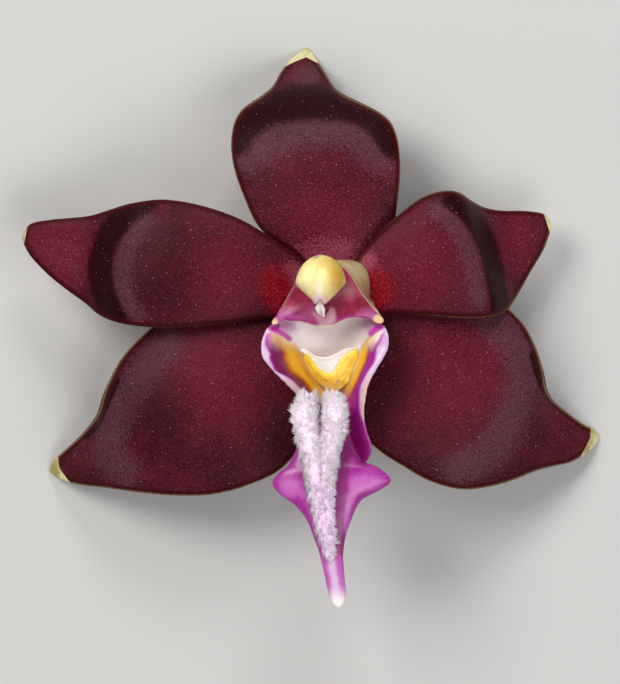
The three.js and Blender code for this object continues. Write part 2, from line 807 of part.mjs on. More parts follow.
const blades = Object.entries(tepals).map(([name, shape]) => [name, tepal(shape)]);
const bladeSolids = blades.map(([, solid]) => solid);
const columnSolid = columnBody(bladeSolids);
const pollinariumSolid = pollinarium();
const lipSolid = lip(columnSolid);
const flower = new THREE.Group();
for (const [name, solid] of blades) flower.add(part(name, solid, maroon, 0.6));
flower.add(part("ovary_pedicel", ovaryStalk(bladeSolids), green, 0.5));
flower.add(part("column", columnSolid, rose, 0.3));
flower.add(part("pollinarium", pollinariumSolid, wax, 0.4));
flower.add(part("anther_cap", antherCap().subtract(grown(pollinariumSolid)), cream, 0.35));
flower.add(part("lip", lipSolid, magenta, 0.4));
flower.add(part("throat_callus", throatCallus(lipSolid), yellow, 0.35));
flower.add(part("lip_brush", lipBrush(lipSolid), white, 0.7));

export default flower;
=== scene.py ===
# Orchid flower, as picked, lying face up. Everything is in metres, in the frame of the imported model.
import json
import math

import bpy
import numpy as np
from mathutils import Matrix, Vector

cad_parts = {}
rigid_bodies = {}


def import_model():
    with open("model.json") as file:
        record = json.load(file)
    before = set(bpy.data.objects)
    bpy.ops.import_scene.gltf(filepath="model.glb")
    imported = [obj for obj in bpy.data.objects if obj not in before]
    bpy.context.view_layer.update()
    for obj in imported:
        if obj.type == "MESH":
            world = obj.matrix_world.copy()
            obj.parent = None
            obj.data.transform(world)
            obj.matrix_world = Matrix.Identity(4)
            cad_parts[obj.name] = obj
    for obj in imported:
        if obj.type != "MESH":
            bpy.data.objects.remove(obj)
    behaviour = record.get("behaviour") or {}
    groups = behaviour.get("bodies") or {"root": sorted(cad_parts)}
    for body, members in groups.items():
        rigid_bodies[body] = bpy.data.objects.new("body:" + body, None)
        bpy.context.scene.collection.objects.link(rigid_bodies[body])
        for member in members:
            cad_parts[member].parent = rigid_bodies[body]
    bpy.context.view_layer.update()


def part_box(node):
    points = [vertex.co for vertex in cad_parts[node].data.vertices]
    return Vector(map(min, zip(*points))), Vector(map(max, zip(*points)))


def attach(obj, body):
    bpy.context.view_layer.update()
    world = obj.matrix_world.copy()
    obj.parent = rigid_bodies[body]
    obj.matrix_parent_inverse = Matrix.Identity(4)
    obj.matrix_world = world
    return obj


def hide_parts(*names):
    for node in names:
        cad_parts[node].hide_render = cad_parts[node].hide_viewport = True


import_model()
mm = 0.001
rng = np.random.default_rng(2081)


def tint(code):
    # a screen colour such as "#5c1524" as the linear numbers that a shader wants
    parts = [int(code[k:k + 2], 16) / 255 for k in (1, 3, 5)]
    return tuple(p / 12.92 if p < 0.04 else ((p + 0.055) / 1.055) ** 2.4 for p in parts)


# curves and surfaces, in millimetres
def curveAt(rows, u, closed=False):
    # a smooth curve through the rows, at each u from 0 to 1
    rows = np.asarray(rows, float)
    count = len(rows)
    if closed:
        place = np.mod(np.asarray(u, float), 1.0) * count
        cell = np.floor(place).astype(int)
        w = (place - cell)[..., None]
        p0, p1, p2, p3 = (rows[(cell + k) % count] for k in (-1, 0, 1, 2))
    else:
        place = np.clip(u, 0, 1) * (count - 1)
        cell = np.clip(np.floor(place).astype(int), 0, count - 2)
        w = (place - cell)[..., None]
        ends = np.vstack([2 * rows[0] - rows[1], rows, 2 * rows[-1] - rows[-2]])
        p0, p1, p2, p3 = (ends[cell + k] for k in range(4))
    v0, v1 = (p2 - p0) / 2, (p3 - p1) / 2
    return (2 * (p1 - p2) + v0 + v1) * w**3 + (3 * (p2 - p1) - 2 * v0 - v1) * w**2 + v0 * w + p1


def smoothStep(x, low, high):
    s = np.clip((x - low) / (high - low), 0, 1)
    return s * s * (3 - 2 * s)


def bladeAt(stations, level, u, t):
    # a blade between two edge curves: u runs base to tip, t from the first edge (-1) to the second (+1)
    rows = np.asarray(stations, float)
    first, second, height = curveAt(rows[:, 0:2], u), curveAt(rows[:, 2:4], u), curveAt(rows[:, 4:7], u)
    share = ((t + 1) / 2)[..., None]
    plan = first * (1 - share) + second * share
    drop = np.where(t < 0, height[..., 1], height[..., 2])
    z = level + height[..., 0] - drop * t * t
    return np.concatenate([plan, z[..., None]], -1)


def tangentAt(rows, u):
    step = 1e-3
    along = curveAt(rows, np.clip(u + step, 0, 1)) - curveAt(rows, np.clip(u - step, 0, 1))
    return along / np.linalg.norm(along, axis=-1, keepdims=True)


def tubeAt(path, u, angle, reach):
    # a point at an angle and a distance round a path
    centre, along = curveAt(path, u), tangentAt(path, u)
    across = np.array([1.0, 0, 0]) - along * along[..., :1]
    across /= np.linalg.norm(across, axis=-1, keepdims=True)
    upward = np.cross(along, across)
    cos, sin = (np.cos(angle) * reach)[..., None], (np.sin(angle) * reach)[..., None]
    return centre + across * cos + upward * sin


def stroke(x, y, line, width, soft=0.5):
    # 1 within the width of a line drawn on the plan, fading to 0 outside it
    path = curveAt(line, np.linspace(0, 1, 70))
    best = np.full(len(x), 99.0)
    for px, py in path:
        best = np.minimum(best, np.hypot(x - px, y - py))
    return 1 - smoothStep(best, width * (1 - soft), width * (1 + soft))


def acrossAt(x, y, first, second):
    # 0 on the first line and 1 on the second, measured along x
    ends = []
    for line in (first, second):
        path = curveAt(line, np.linspace(0, 1, 300))
        order = np.argsort(path[:, 1])
        ends.append(np.interp(y, path[order, 1], path[order, 0]))
    return (x - ends[0]) / (ends[1] - ends[0])


def blot(x, y, centre, radii, soft=0.5):
    reach = np.hypot((x - centre[0]) / radii[0], (y - centre[1]) / radii[1])
    return 1 - smoothStep(reach, 1 - soft, 1 + soft)


# mesh making
def selectOnly(piece):
    bpy.ops.object.select_all(action="DESELECT")
    piece.select_set(True)
    bpy.context.view_layer.objects.active = piece


def shapedGrid(name, alongCuts, acrossCuts, formula):
    # a grid whose u runs along x and v along y, laid onto a surface given in millimetres
    bpy.ops.object.select_all(action="DESELECT")
    bpy.ops.mesh.primitive_grid_add(x_subdivisions=alongCuts, y_subdivisions=acrossCuts, size=2)
    piece = bpy.context.object
    piece.name = piece.data.name = name
    points = np.zeros(len(piece.data.vertices) * 3)
    piece.data.vertices.foreach_get("co", points)
    points = points.reshape(-1, 3)
    u, v = (points[:, 0] + 1) / 2, (points[:, 1] + 1) / 2
    placed = formula(u, v) * mm
    piece.data.vertices.foreach_set("co", placed.astype(np.float32).ravel())
    piece.data.update()
    return piece


def closeUp(piece, distance=0.004):
    # weld seams and poles, then turn all faces outwards
    selectOnly(piece)
    bpy.ops.object.mode_set(mode="EDIT")
    bpy.ops.mesh.select_all(action="SELECT")
    bpy.ops.mesh.remove_doubles(threshold=distance * mm)
    bpy.ops.mesh.normals_make_consistent(inside=False)
    bpy.ops.object.mode_set(mode="OBJECT")


def dropCrumbs(piece):
    # keep what hangs together with the lowest point, and drop loose crumbs
    lowest = int(np.argmin(pointsOf(piece)[:, 2]))
    selectOnly(piece)
    bpy.ops.object.mode_set(mode="EDIT")
    bpy.ops.mesh.select_mode(type="VERT")
    bpy.ops.mesh.select_all(action="DESELECT")
    bpy.ops.object.mode_set(mode="OBJECT")
    piece.data.vertices[lowest].select = True
    bpy.ops.object.mode_set(mode="EDIT")
    bpy.ops.mesh.select_linked()
    bpy.ops.mesh.select_all(action="INVERT")
    bpy.ops.mesh.delete(type="VERT")
    bpy.ops.object.mode_set(mode="OBJECT")


def modify(piece, kind, **settings):
    selectOnly(piece)
    modifier = piece.modifiers.new(kind.title(), kind)
    for key, value in settings.items():
        setattr(modifier, key, value)
    bpy.ops.object.modifier_apply(modifier=modifier.name)


def subdivide(piece):
    modify(piece, "SUBSURF", levels=1, render_levels=1)


def smooth(piece):
    selectOnly(piece)
    bpy.ops.object.shade_smooth()


def pointsOf(piece):
    points = np.zeros(len(piece.data.vertices) * 3)
    piece.data.vertices.foreach_get("co", points)
    return points.reshape(-1, 3) / mm


def movePoints(piece, points):
    piece.data.vertices.foreach_set("co", (points * mm).astype(np.float32).ravel())
    piece.data.update()


def paint(piece, name, values):
    # a number for each point of the mesh, which a material reads by name
    layer = piece.data.attributes.new(name, "FLOAT", "POINT")
    layer.data.foreach_set("value", np.asarray(values, np.float32))


def join(name, pieces):
    bpy.ops.object.select_all(action="DESELECT")
    for piece in pieces:
        piece.select_set(True)
    bpy.context.view_layer.objects.active = pieces[0]
    bpy.ops.object.join()
    pieces[0].name = pieces[0].data.name = name
    return pieces[0]


def faceUp(piece):
    # an open sheet is turned so that its upper side is its front
    if sum(face.normal.z * face.area for face in piece.data.polygons) < 0:
        selectOnly(piece)
        bpy.ops.object.mode_set(mode="EDIT")
        bpy.ops.mesh.select_all(action="SELECT")
        bpy.ops.mesh.flip_normals()
        bpy.ops.object.mode_set(mode="OBJECT")


def blockPiece(name, shape, top, aroundCuts=160, ringCuts=60, faceShare=0.5):
    # rings from the middle of the face out to the rim, then down through the sections to a closed foot
    centre = np.array(shape["centre"])
    sections = shape["sections"]
    # scale, shift and roundness down the side; the first row is the rim of the face
    rows = [[1, 0, 0, 0]] + [[s["scale"], *s.get("shift", (0, 0)), s.get("roundness", 0)] for s in sections]
    radii = np.array(shape.get("foot", (1, 1)))
    footAt = 0.94

    def surface(ring, around):
        rim = curveAt(shape["outline"], around, closed=True)
        r = np.clip(ring / faceShare, 0, 1)
        plan = centre + (rim - centre) * r[:, None]
        height = top(plan[:, 0], plan[:, 1], r)
        q = np.clip((ring - faceShare) / (footAt - faceShare), 0, 1)
        side = curveAt(rows, q)
        angle = np.arctan2(rim[:, 1] - centre[1], rim[:, 0] - centre[0])
        spread = (np.abs(np.cos(angle)) ** 3 + np.abs(np.sin(angle)) ** 3) ** (-1 / 3)
        scale, shift, roundness = side[:, :1], side[:, 1:3], side[:, 3:]
        foot = centre + shift + (spread[:, None] * np.stack([np.cos(angle), np.sin(angle)], 1)) * radii
        own = centre + (rim - centre) * scale + shift
        low = own * (1 - roundness) + foot * roundness
        levels = np.array([0.0] + [s["z"] for s in sections])
        cell = np.clip(np.ceil(q * len(sections)).astype(int), 1, len(sections))
        share = q * len(sections) - (cell - 1)
        fromZ = np.where(cell == 1, height, levels[cell - 1])
        z = np.where(q > 0, fromZ + (levels[cell] - fromZ) * share, height)
        plan = np.where((q > 0)[:, None], low, plan)
        # the foot closes to a point
        shut = np.clip((ring - footAt) / (1 - footAt), 0, 1)[:, None]
        middle = centre + np.array(sections[-1].get("shift", (0, 0)))
        plan = plan * (1 - shut) + middle * shut
        return np.concatenate([plan, z[:, None]], 1)

    piece = shapedGrid(name, ringCuts, aroundCuts, surface)
    closeUp(piece)
    return piece


def thinTowardsRim(piece, alongCuts, acrossCuts, share):
    # for Solidify: the share of the full thickness at each point, with t from -1 to 1 across the sheet
    steps = np.arange(len(piece.data.vertices))
    u = (steps % (alongCuts + 1)) / alongCuts
    t = np.sin((steps // (alongCuts + 1) / acrossCuts - 0.5) * math.pi)
    group = piece.vertex_groups.new(name="thick")
    for i, amount in enumerate(share(u, t)):
        group.add([i], float(amount), "REPLACE")


def finishPiece(piece, slot, *nodes):
    smooth(piece)
    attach(piece, "root")
    if nodes:
        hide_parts(*nodes)
    print("made", piece.name, len(piece.data.polygons), "faces")


# material making
class Nodes:
    # short ways to add the usual nodes to one material

    def __init__(self, name):
        self.material = bpy.data.materials.new(name)
        self.material.use_nodes = True
        self.tree = self.material.node_tree
        self.shader = self.tree.nodes["Principled BSDF"]
        self.place = self.tree.nodes.new("ShaderNodeTexCoord").outputs["Object"]

    def put(self, socket, value):
        if isinstance(value, bpy.types.NodeSocket):
            self.tree.links.new(value, socket)
        elif isinstance(value, (tuple, list)) and len(value) == 3 and socket.type == "RGBA":
            socket.default_value = (*value, 1)
        elif value is not None:
            socket.default_value = value

    def math(self, operation, a, b=None):
        node = self.tree.nodes.new("ShaderNodeMath")
        node.operation = operation
        for socket, value in zip(node.inputs, (a, b)):
            self.put(socket, value)
        return node.outputs[0]

    def step(self, value, low, high):
        node = self.tree.nodes.new("ShaderNodeMapRange")
        node.interpolation_type = "SMOOTHSTEP"
        self.put(node.inputs["Value"], value)
        self.put(node.inputs["From Min"], low)
        self.put(node.inputs["From Max"], high)
        return node.outputs["Result"]

    def blend(self, share, a, b):
        node = self.tree.nodes.new("ShaderNodeMix")
        node.data_type = "RGBA"
        self.put(node.inputs["Factor"], share)
        self.put(node.inputs[6], a)
        self.put(node.inputs[7], b)
        return node.outputs[2]

    def attribute(self, name):
        node = self.tree.nodes.new("ShaderNodeAttribute")
        node.attribute_name = name
        return node.outputs["Fac"]

    def noise(self, size, detail=3.0, roughness=0.55):
        # size is the width of a patch in millimetres
        node = self.tree.nodes.new("ShaderNodeTexNoise")
        self.put(node.inputs["Vector"], self.place)
        self.put(node.inputs["Scale"], 1 / (size * mm))
        self.put(node.inputs["Detail"], detail)
        self.put(node.inputs["Roughness"], roughness)
        return node.outputs["Fac"]

    def cells(self, size):
        node = self.tree.nodes.new("ShaderNodeTexVoronoi")
        self.put(node.inputs["Vector"], self.place)
        self.put(node.inputs["Scale"], 1 / (size * mm))
        return node.outputs["Distance"]

    def ramp(self, value, *stops):
        node = self.tree.nodes.new("ShaderNodeValToRGB")
        self.put(node.inputs["Fac"], value)
        ends = node.color_ramp.elements
        ends.remove(ends[1])
        ends[0].position, ends[0].color = stops[0][0], (*stops[0][1], 1)
        for place, colour in stops[1:]:
            ends.new(place).color = (*colour, 1)
        return node.outputs["Color"]

    def axis(self, name):
        # an object coordinate in millimetres
        node = self.tree.nodes.new("ShaderNodeSeparateXYZ")
        self.put(node.inputs[0], self.place)
        return self.math("MULTIPLY", node.outputs[name], 1 / mm)

    def spot(self, centre, radii, soft=0.5, wobble=0.0):
        # an oval on the plan with a soft edge, uneven where wobble is given
        dx = self.math("DIVIDE", self.math("SUBTRACT", self.axis("X"), centre[0]), radii[0])
        dy = self.math("DIVIDE", self.math("SUBTRACT", self.axis("Y"), centre[1]), radii[1])
        reach = self.math("SQRT", self.math("ADD", self.math("MULTIPLY", dx, dx), self.math("MULTIPLY", dy, dy)))
        if wobble:
            uneven = self.math("MULTIPLY", self.math("SUBTRACT", self.noise(0.6, 3), 0.5), wobble)
            reach = self.math("ADD", reach, uneven)
        return self.math("SUBTRACT", 1, self.step(reach, 1 - soft, 1 + soft))

    def times(self, a, b):
        return self.math("MULTIPLY", a, b)

    def bump(self, height, strength, distance, under=None):
        # distance is the height of the relief in millimetres
        node = self.tree.nodes.new("ShaderNodeBump")
        self.put(node.inputs["Height"], height)
        self.put(node.inputs["Strength"], strength)
        self.put(node.inputs["Distance"], distance * mm)
        if under is not None:
            self.put(node.inputs["Normal"], under)
        return node.outputs["Normal"]

    def set(self, **sockets):
        for name, value in sockets.items():
            self.put(self.shader.inputs[name.replace("_", " ")], value)
        return self.material


# tepals
# each station: first edge x, y, second edge x, y, height of the midline, drop of each edge
tepals = {
    "dorsal_sepal": {
        "piece": "dorsalSepal", "level": 8.5, "thickness": 0.9,
        "stations": [
            [0.1, 4.4, 3.6, 4.4, 0.0, 0.0, 0.0],
            [-1.2, 6.2, 4.5, 6.2, 0.2, 0.2, 0.2],
            [-4.3, 8.5, 6.9, 8.3, 0.6, 0.6, 0.5],
            [-5.75, 11.2, 7.55, 11.3, 0.8, 0.9, 0.7],
            [-6.8, 14.4, 7.75, 14.3, 0.6, 1.1, 0.8],
            [-6.85, 17.0, 7.35, 16.9, -0.1, 1.2, 0.9],
            [-6.1, 18.8, 6.2, 18.5, -1.3, 1.1, 0.9],
            [-4.3, 20.1, 3.0, 20.1, -3.0, 0.7, 0.6],
            [-3.35, 20.95, 2.0, 20.9, -4.5, 0.4, 0.4],
            [-2.6, 22.3, 1.25, 22.1, -6.5, 0.2, 0.2],
            [-1.7, 23.4, 0.6, 23.1, -7.9, 0.1, 0.1],
            [-0.25, 24.45, -0.25, 24.45, -8.75, 0.0, 0.0],
        ],
    },
    "petal_left": {
        "piece": "petalLeft", "level": 9.6, "thickness": 0.85,
        "stations": [
            [0.4, 4.1, 0.2, 1.4, 0.0, 0.0, 0.0],
            [-0.8, 5.95, -2.3, 0.9, 0.2, 0.1, 0.1],
            [-3.4, 7.75, -5.3, 0.65, 0.7, 0.5, 0.4],
            [-6.3, 9.45, -8.1, 0.3, 1.1, 0.8, 0.7],
            [-9.65, 10.6, -11.2, 0.05, 1.2, 1.0, 0.8],
            [-12.8, 11.1, -14.0, 0.05, 0.9, 1.0, 0.8],
            [-15.5, 10.8, -16.6, 0.4, 0.0, 0.7, 0.6],
            [-17.6, 10.2, -18.3, 1.05, -1.8, 0.3, 0.4],
            [-19.2, 9.75, -19.6, 2.1, -3.1, 0.0, 0.1],
            [-21.0, 9.55, -21.3, 3.3, -3.7, -0.2, 0.0],
            [-22.7, 9.4, -22.9, 4.6, -4.0, -0.1, 0.0],
            [-24.5, 9.0, -24.5, 6.3, -4.2, 0.0, 0.0],
            [-25.15, 7.8, -25.15, 7.8, -4.4, 0.0, 0.0],
        ],
    },
    "petal_right": {
        "piece": "petalRight", "level": 9.6, "thickness": 0.85,
        "stations": [
            [3.3, 4.3, 3.5, 1.6, 0.0, 0.0, 0.0],
            [4.1, 6.1, 5.3, 1.2, 0.2, 0.1, 0.1],
            [5.75, 8.05, 7.3, 1.2, 0.8, 0.4, 0.4],
            [7.9, 10.0, 9.9, 1.1, 1.4, 0.8, 0.7],
            [9.8, 11.35, 12.3, 0.9, 1.7, 1.0, 0.9],
            [11.6, 11.85, 14.4, 0.85, 1.5, 1.1, 1.0],
            [12.8, 11.7, 15.9, 1.05, 0.5, 0.8, 0.9],
            [13.9, 11.0, 16.95, 1.45, -1.6, 0.4, 0.6],
            [15.05, 10.45, 17.6, 2.3, -3.5, 0.1, 0.3],
            [16.6, 10.2, 18.35, 3.5, -4.7, -0.1, 0.1],
            [18.35, 10.2, 19.2, 5.0, -5.3, -0.1, 0.0],
            [19.85, 10.05, 20.1, 6.5, -5.7, 0.0, 0.0],
            [20.6, 9.7, 20.6, 7.8, -5.9, 0.0, 0.0],
            [20.9, 8.8, 20.9, 8.8, -6.0, 0.0, 0.0],
        ],
    },
    "lateral_sepal_left": {
        "piece": "lateralSepalLeft", "level": 8.5, "thickness": 0.9,
        "stations": [
            [-0.2, 1.3, 0.9, -3.9, 0.0, 0.0, 0.0],
            [-2.7, 2.4, -0.1, -8.7, 0.3, 0.5, 0.5],
            [-6.2, 2.4, -2.4, -12.1, 0.5, 0.9, 0.9],
            [-9.65, 1.9, -5.5, -13.7, 0.4, 1.2, 1.2],
            [-12.4, 1.0, -8.6, -14.5, 0.0, 1.3, 1.4],
            [-14.5, -0.6, -11.7, -14.6, -0.6, 1.3, 1.4],
            [-16.4, -2.65, -14.35, -14.4, -1.5, 1.2, 1.2],
            [-17.8, -5.35, -16.8, -14.1, -2.8, 0.9, 0.9],
            [-18.5, -7.5, -18.35, -13.9, -4.3, 0.6, 0.6],
            [-19.85, -9.25, -19.9, -13.75, -5.9, 0.3, 0.3],
            [-21.3, -10.6, -21.3, -13.45, -7.2, 0.1, 0.1],
            [-22.35, -11.6, -22.2, -13.0, -8.2, 0.0, 0.0],
            [-22.85, -12.5, -22.85, -12.5, -8.6, 0.0, 0.0],
        ],
    },
    "lateral_sepal_right": {
        "piece": "lateralSepalRight", "level": 8.5, "thickness": 0.9,
        "stations": [
            [3.4, 1.3, 2.5, -4.1, 0.0, 0.0, 0.0],
            [6.4, 2.6, 3.9, -8.5, 0.3, 0.5, 0.5],
            [9.9, 3.1, 5.8, -10.6, 0.5, 0.9, 0.9],
            [13.1, 3.1, 8.1, -12.1, 0.4, 1.2, 1.2],
            [16.0, 2.4, 10.35, -13.35, 0.0, 1.4, 1.3],
            [18.2, 0.6, 12.95, -14.05, -0.6, 1.4, 1.3],
            [19.4, -1.45, 15.4, -13.85, -1.5, 1.2, 1.2],
            [20.1, -3.6, 17.6, -13.25, -2.6, 0.9, 1.0],
            [20.4, -5.25, 19.5, -12.5, -3.8, 0.7, 0.7],
            [21.05, -6.4, 21.05, -12.1, -5.0, 0.4, 0.4],
            [22.35, -7.45, 22.5, -11.8, -6.3, 0.2, 0.2],
            [23.7, -8.45, 23.8, -11.1, -7.4, 0.1, 0.1],
            [24.6, -8.9, 24.7, -10.3, -8.3, 0.0, 0.0],
            [25.15, -9.5, 25.15, -9.5, -8.65, 0.0, 0.0],
        ],
    },
}

velvet = {
    "maroon": tint("#43101b"), "wine": tint("#541422"), "oxblood": tint("#1e0004"), "paintedSheenGrey": tint("#5a3942"),
    "glow": tint("#6e1428"), "blood": tint("#740310"), "pinkFleck": tint("#a23046"), "tipRed": tint("#6a1626"),
    "rose": tint("#9a4658"), "redDot": tint("#9c2035"), "glintDot": tint("#a98a90"), "margin": tint("#380307"),
    "rim": tint("#6e5236"), "cream": tint("#cfc795"), "olive": tint("#9a8f58"), "back": tint("#8a6a44"),
    "backRed": tint("#5d1f22"), "papilla": 0.11,  # width of a skin cell in millimetres
    "marginWidth": 0.42, "rimWidth": 0.08,
}

flowerMiddle = (1.9, 2.4)

# where the velvet's colour, its painted shade and its painted sheen change, drawn on the plan in millimetres
tepalMarks = {
    "dorsal_sepal": {
        "shadeBand": [[-6.7, 16.4], [-5.9, 17.7], [-3.6, 19.1], [-0.4, 19.6], [3.4, 19.4], [5.9, 18.2], [7.4, 16.2]],
        "shadeBandWidth": 1.6, "tipSheen": ((-0.35, 21.9), (1.2, 1.0)),
        "grey": [[-5.6, 15.2], [-2.8, 16.8], [0.4, 17.3], [3.6, 17.1], [6.3, 15.0]], "sheenWidth": 1.9,
        "glow": ((0.9, 8.0), (3.6, 4.6)), "rose": ((1.4, 5.9), (3.4, 1.9)), "tipLength": 1.0, "tipArch": 0.75,
        "rimShare": 0.75,
    },
    "petal_left": {
        "shadeBand": [[-14.4, 11.0], [-16.0, 9.9], [-17.5, 8.1], [-18.3, 6.0], [-18.35, 4.3], [-17.9, 2.6], [-17.0, 0.6]],
        "shadeBandWidth": 1.05, "tipRed": ((-21.6, 6.6), (2.6, 2.6)),
        "grey": [[-14.6, 9.2], [-15.8, 7.4], [-16.4, 5.0], [-16.2, 2.6], [-15.2, 1.2]], "sheenWidth": 1.0,
        "glow": ((-7.6, 4.2), (3.6, 2.6)), "blood": ((-3.0, 3.3), (1.35, 2.0)), "rose": ((-1.6, 4.6), (1.1, 1.3)),
        "shadeDim": ((-12.5, 5.2), (3.0, 4.0)),
        "tipLength": 0.22, "tipArch": 0.0, "rimShare": 0.12,
    },
    "petal_right": {
        "shadeBand": [[12.2, 11.1], [13.7, 9.9], [14.8, 8.3], [15.6, 6.4], [15.95, 4.7], [16.3, 3.0], [16.5, 1.4]],
        "shadeBandWidth": 0.85, "grey": [[11.0, 10.2], [12.4, 9.0], [13.5, 7.2], [14.2, 5.0], [14.6, 2.4]],
        "sheenWidth": 0.9, "tipRed": ((17.9, 7.6), (1.6, 2.4)),
        "glow": ((8.8, 5.4), (4.6, 4.0)), "blood": ((5.6, 3.1), (1.5, 2.0)), "rose": ((4.6, 5.6), (1.3, 1.2)),
        "tipLength": 0.2, "tipArch": 0.0, "rimShare": 0.5,
    },
    "lateral_sepal_left": {
        "shadeBand": [[-17.0, -4.6], [-17.9, -6.6], [-18.6, -8.2], [-19.6, -9.4]], "shadeBandWidth": 0.35,
        "grey": [[-12.4, -1.4], [-15.0, -4.6], [-16.6, -7.6], [-17.6, -10.6], [-16.2, -12.6]], "sheenWidth": 1.6,
        "glow": ((-8.0, -4.2), (4.6, 4.2)), "shadeDim": ((-13.5, -7.6), (2.6, 3.6)), "tipLength": 1.0, "tipArch": 0.3,
        "rimShare": 1.0,
    },
    "lateral_sepal_right": {
        "shadeBand": [[19.3, -2.4], [19.9, -4.4], [20.6, -6.0]], "shadeBandWidth": 0.3,
        "grey": [[15.6, 1.0], [17.8, -1.8], [18.4, -5.4], [16.0, -10.6], [12.8, -12.4]], "sheenWidth": 1.7,
        "glow": ((11.6, -4.2), (4.8, 4.4)), "shadeDim": ((6.3, -4.5), (2.6, 4.6)), "tipLength": 0.75, "tipArch": 0.25,
        "rimShare": 1.0,
    },
}


def tepalMasks(node, shape, points):
    marks = tepalMarks[node]
    x, y, z = points.T
    rows = np.array(shape["stations"])
    u = np.linspace(0, 1, 260)
    edges = np.vstack([curveAt(rows[:, :2], u), curveAt(rows[:, 2:4], u)])
    inset = np.full(len(x), 9.0)
    for px, py in edges:
        inset = np.minimum(inset, np.hypot(x - px, y - py))
    masks = {"inset": inset, "rimHere": smoothStep(np.hypot(x - flowerMiddle[0], y - flowerMiddle[1]), 6.0, 11.0)}
    # painted shade: the dark band where the blade bends away from the lamps
    masks["shadeBand"] = stroke(x, y, marks["shadeBand"], marks["shadeBandWidth"], 0.55)
    # painted sheen: the grey bloom where the velvet faces the lamps
    masks["grey"] = stroke(x, y, marks["grey"], marks["sheenWidth"], 0.8)
    for name in ("glow", "blood", "rose", "shadeDim", "tipSheen", "tipRed"):
        if name in marks:
            masks[name] = blot(x, y, *marks[name], soft=0.75)
    # the pale tip: distance along the blade, with an arch of dark skin running into it
    tipPoint = rows[-1, :2]
    base = rows[0, :4].reshape(2, 2).mean(0)
    axis = (tipPoint - base) / np.linalg.norm(tipPoint - base)
    along = (x - tipPoint[0]) * axis[0] + (y - tipPoint[1]) * axis[1]
    arch = marks["tipArch"] * (0.55 - np.clip(inset, 0, 0.9) * 1.5)
    masks["tip"] = smoothStep(along + marks["tipLength"] + arch, -0.12, 0.12)
    return masks


def tepalMaterial(node, shape):
    marks = tepalMarks[node]
    look = Nodes(shape["piece"] + "Velvet")
    grain, worms = look.noise(0.15, 1.5), look.noise(0.3, 2, 0.7)
    cloud, broad = look.noise(1.6, 4), look.noise(4.5, 3)
    dissolve = look.math("ADD", look.times(look.math("SUBTRACT", grain, 0.5), 1.3),
                         look.times(look.math("SUBTRACT", worms, 0.5), 1.1))

    def mask(name, low=0.3, high=0.7, share=1.0, frayed=True):
        value = look.attribute(name)
        if frayed:
            value = look.math("ADD", value, dissolve)
        return look.times(look.step(value, low, high), share)

    skin = look.blend(look.step(broad, 0.35, 0.65), velvet["maroon"], velvet["wine"])
    skin = look.blend(look.times(look.step(cloud, 0.45, 0.75), 0.3), skin, velvet["oxblood"])
    skin = look.blend(look.times(look.attribute("glow"), 0.55), skin, velvet["glow"])
    if "tipRed" in marks:
        skin = look.blend(look.times(look.attribute("tipRed"), 0.7), skin, velvet["tipRed"])
    # painted sheen: the grey bloom where the velvet faces the lamps
    skin = look.blend(mask("grey", 0.25, 1.1, 0.6), skin, velvet["paintedSheenGrey"])
    # painted sheen near the dorsal sepal's tip
    if "tipSheen" in marks:
        skin = look.blend(mask("tipSheen", 0.2, 1.1, 0.6), skin, velvet["paintedSheenGrey"])
    # painted light and shade of the papillae: pale lit tips over dark shaded valleys
    skin = look.blend(look.times(look.step(grain, 0.5, 0.3), 0.55), skin, velvet["oxblood"])
    skin = look.blend(look.times(look.step(grain, 0.54, 0.7), 0.5), skin, velvet["paintedSheenGrey"])
    # painted shade: darker patches, among them the lip's shadow on the right lateral sepal
    if "shadeDim" in marks:
        skin = look.blend(look.times(look.attribute("shadeDim"), 0.45), skin, velvet["oxblood"])
    if "rose" in marks:
        skin = look.blend(mask("rose", 0.2, 1.2, 0.75), skin, velvet["rose"])
    if "blood" in marks:
        skin = look.blend(mask("blood", 0.3, 0.75, 0.95), skin, velvet["blood"])
        fleck = look.times(look.step(look.noise(0.2, 1), 0.5, 0.66), look.step(look.attribute("blood"), 0.05, 0.6))
        skin = look.blend(look.times(fleck, 0.4), skin, velvet["pinkFleck"])
    # painted shade: the dark band where the blade bends away from the lamps
    skin = look.blend(mask("shadeBand", 0.3, 0.75, 0.95), skin, velvet["oxblood"])
    # scattered dots: red ones in the middle, and pale painted glints of the papillae everywhere
    dots = look.step(look.noise(0.24, 0), 0.77, 0.82)
    skin = look.blend(look.times(look.times(dots, look.attribute("glow")), 0.7), skin, velvet["redDot"])
    glints = look.step(look.noise(0.15, 0), 0.8, 0.86)
    skin = look.blend(look.times(glints, 0.5), skin, velvet["glintDot"])
    # smooth dark margin inside the rim, then the rim itself
    inset = look.math("ADD", look.attribute("inset"), look.times(look.math("SUBTRACT", worms, 0.5), 0.22))
    margin = look.math("SUBTRACT", 1, look.step(inset, velvet["marginWidth"] * 0.55, velvet["marginWidth"] * 1.3))
    skin = look.blend(look.times(margin, 0.85), skin, velvet["margin"])
    rimStep = look.step(look.attribute("inset"), velvet["rimWidth"] * 0.7, velvet["rimWidth"] * 1.4)
    rim = look.math("SUBTRACT", 1, rimStep)
    skin = look.blend(look.times(look.times(rim, look.attribute("rimHere")), marks["rimShare"]), skin, velvet["rim"])
    tipSkin = look.blend(look.step(cloud, 0.4, 0.62), velvet["cream"], velvet["olive"])
    skin = look.blend(mask("tip", 0.35, 0.65, 1.0, frayed=False), skin, tipSkin)
    # papillae, and a soft pucker below them
    pucker = look.bump(look.noise(1.6, 2), 0.25, 0.07)
    papillae = look.bump(look.math("ADD", look.cells(velvet["papilla"]), look.times(worms, 0.5)), 0.4, 0.02, pucker)
    look.set(Base_Color=skin, Roughness=look.math("ADD", look.times(grain, 0.25), 0.36), Normal=papillae,
             Specular_IOR_Level=0.07)
    return look.material


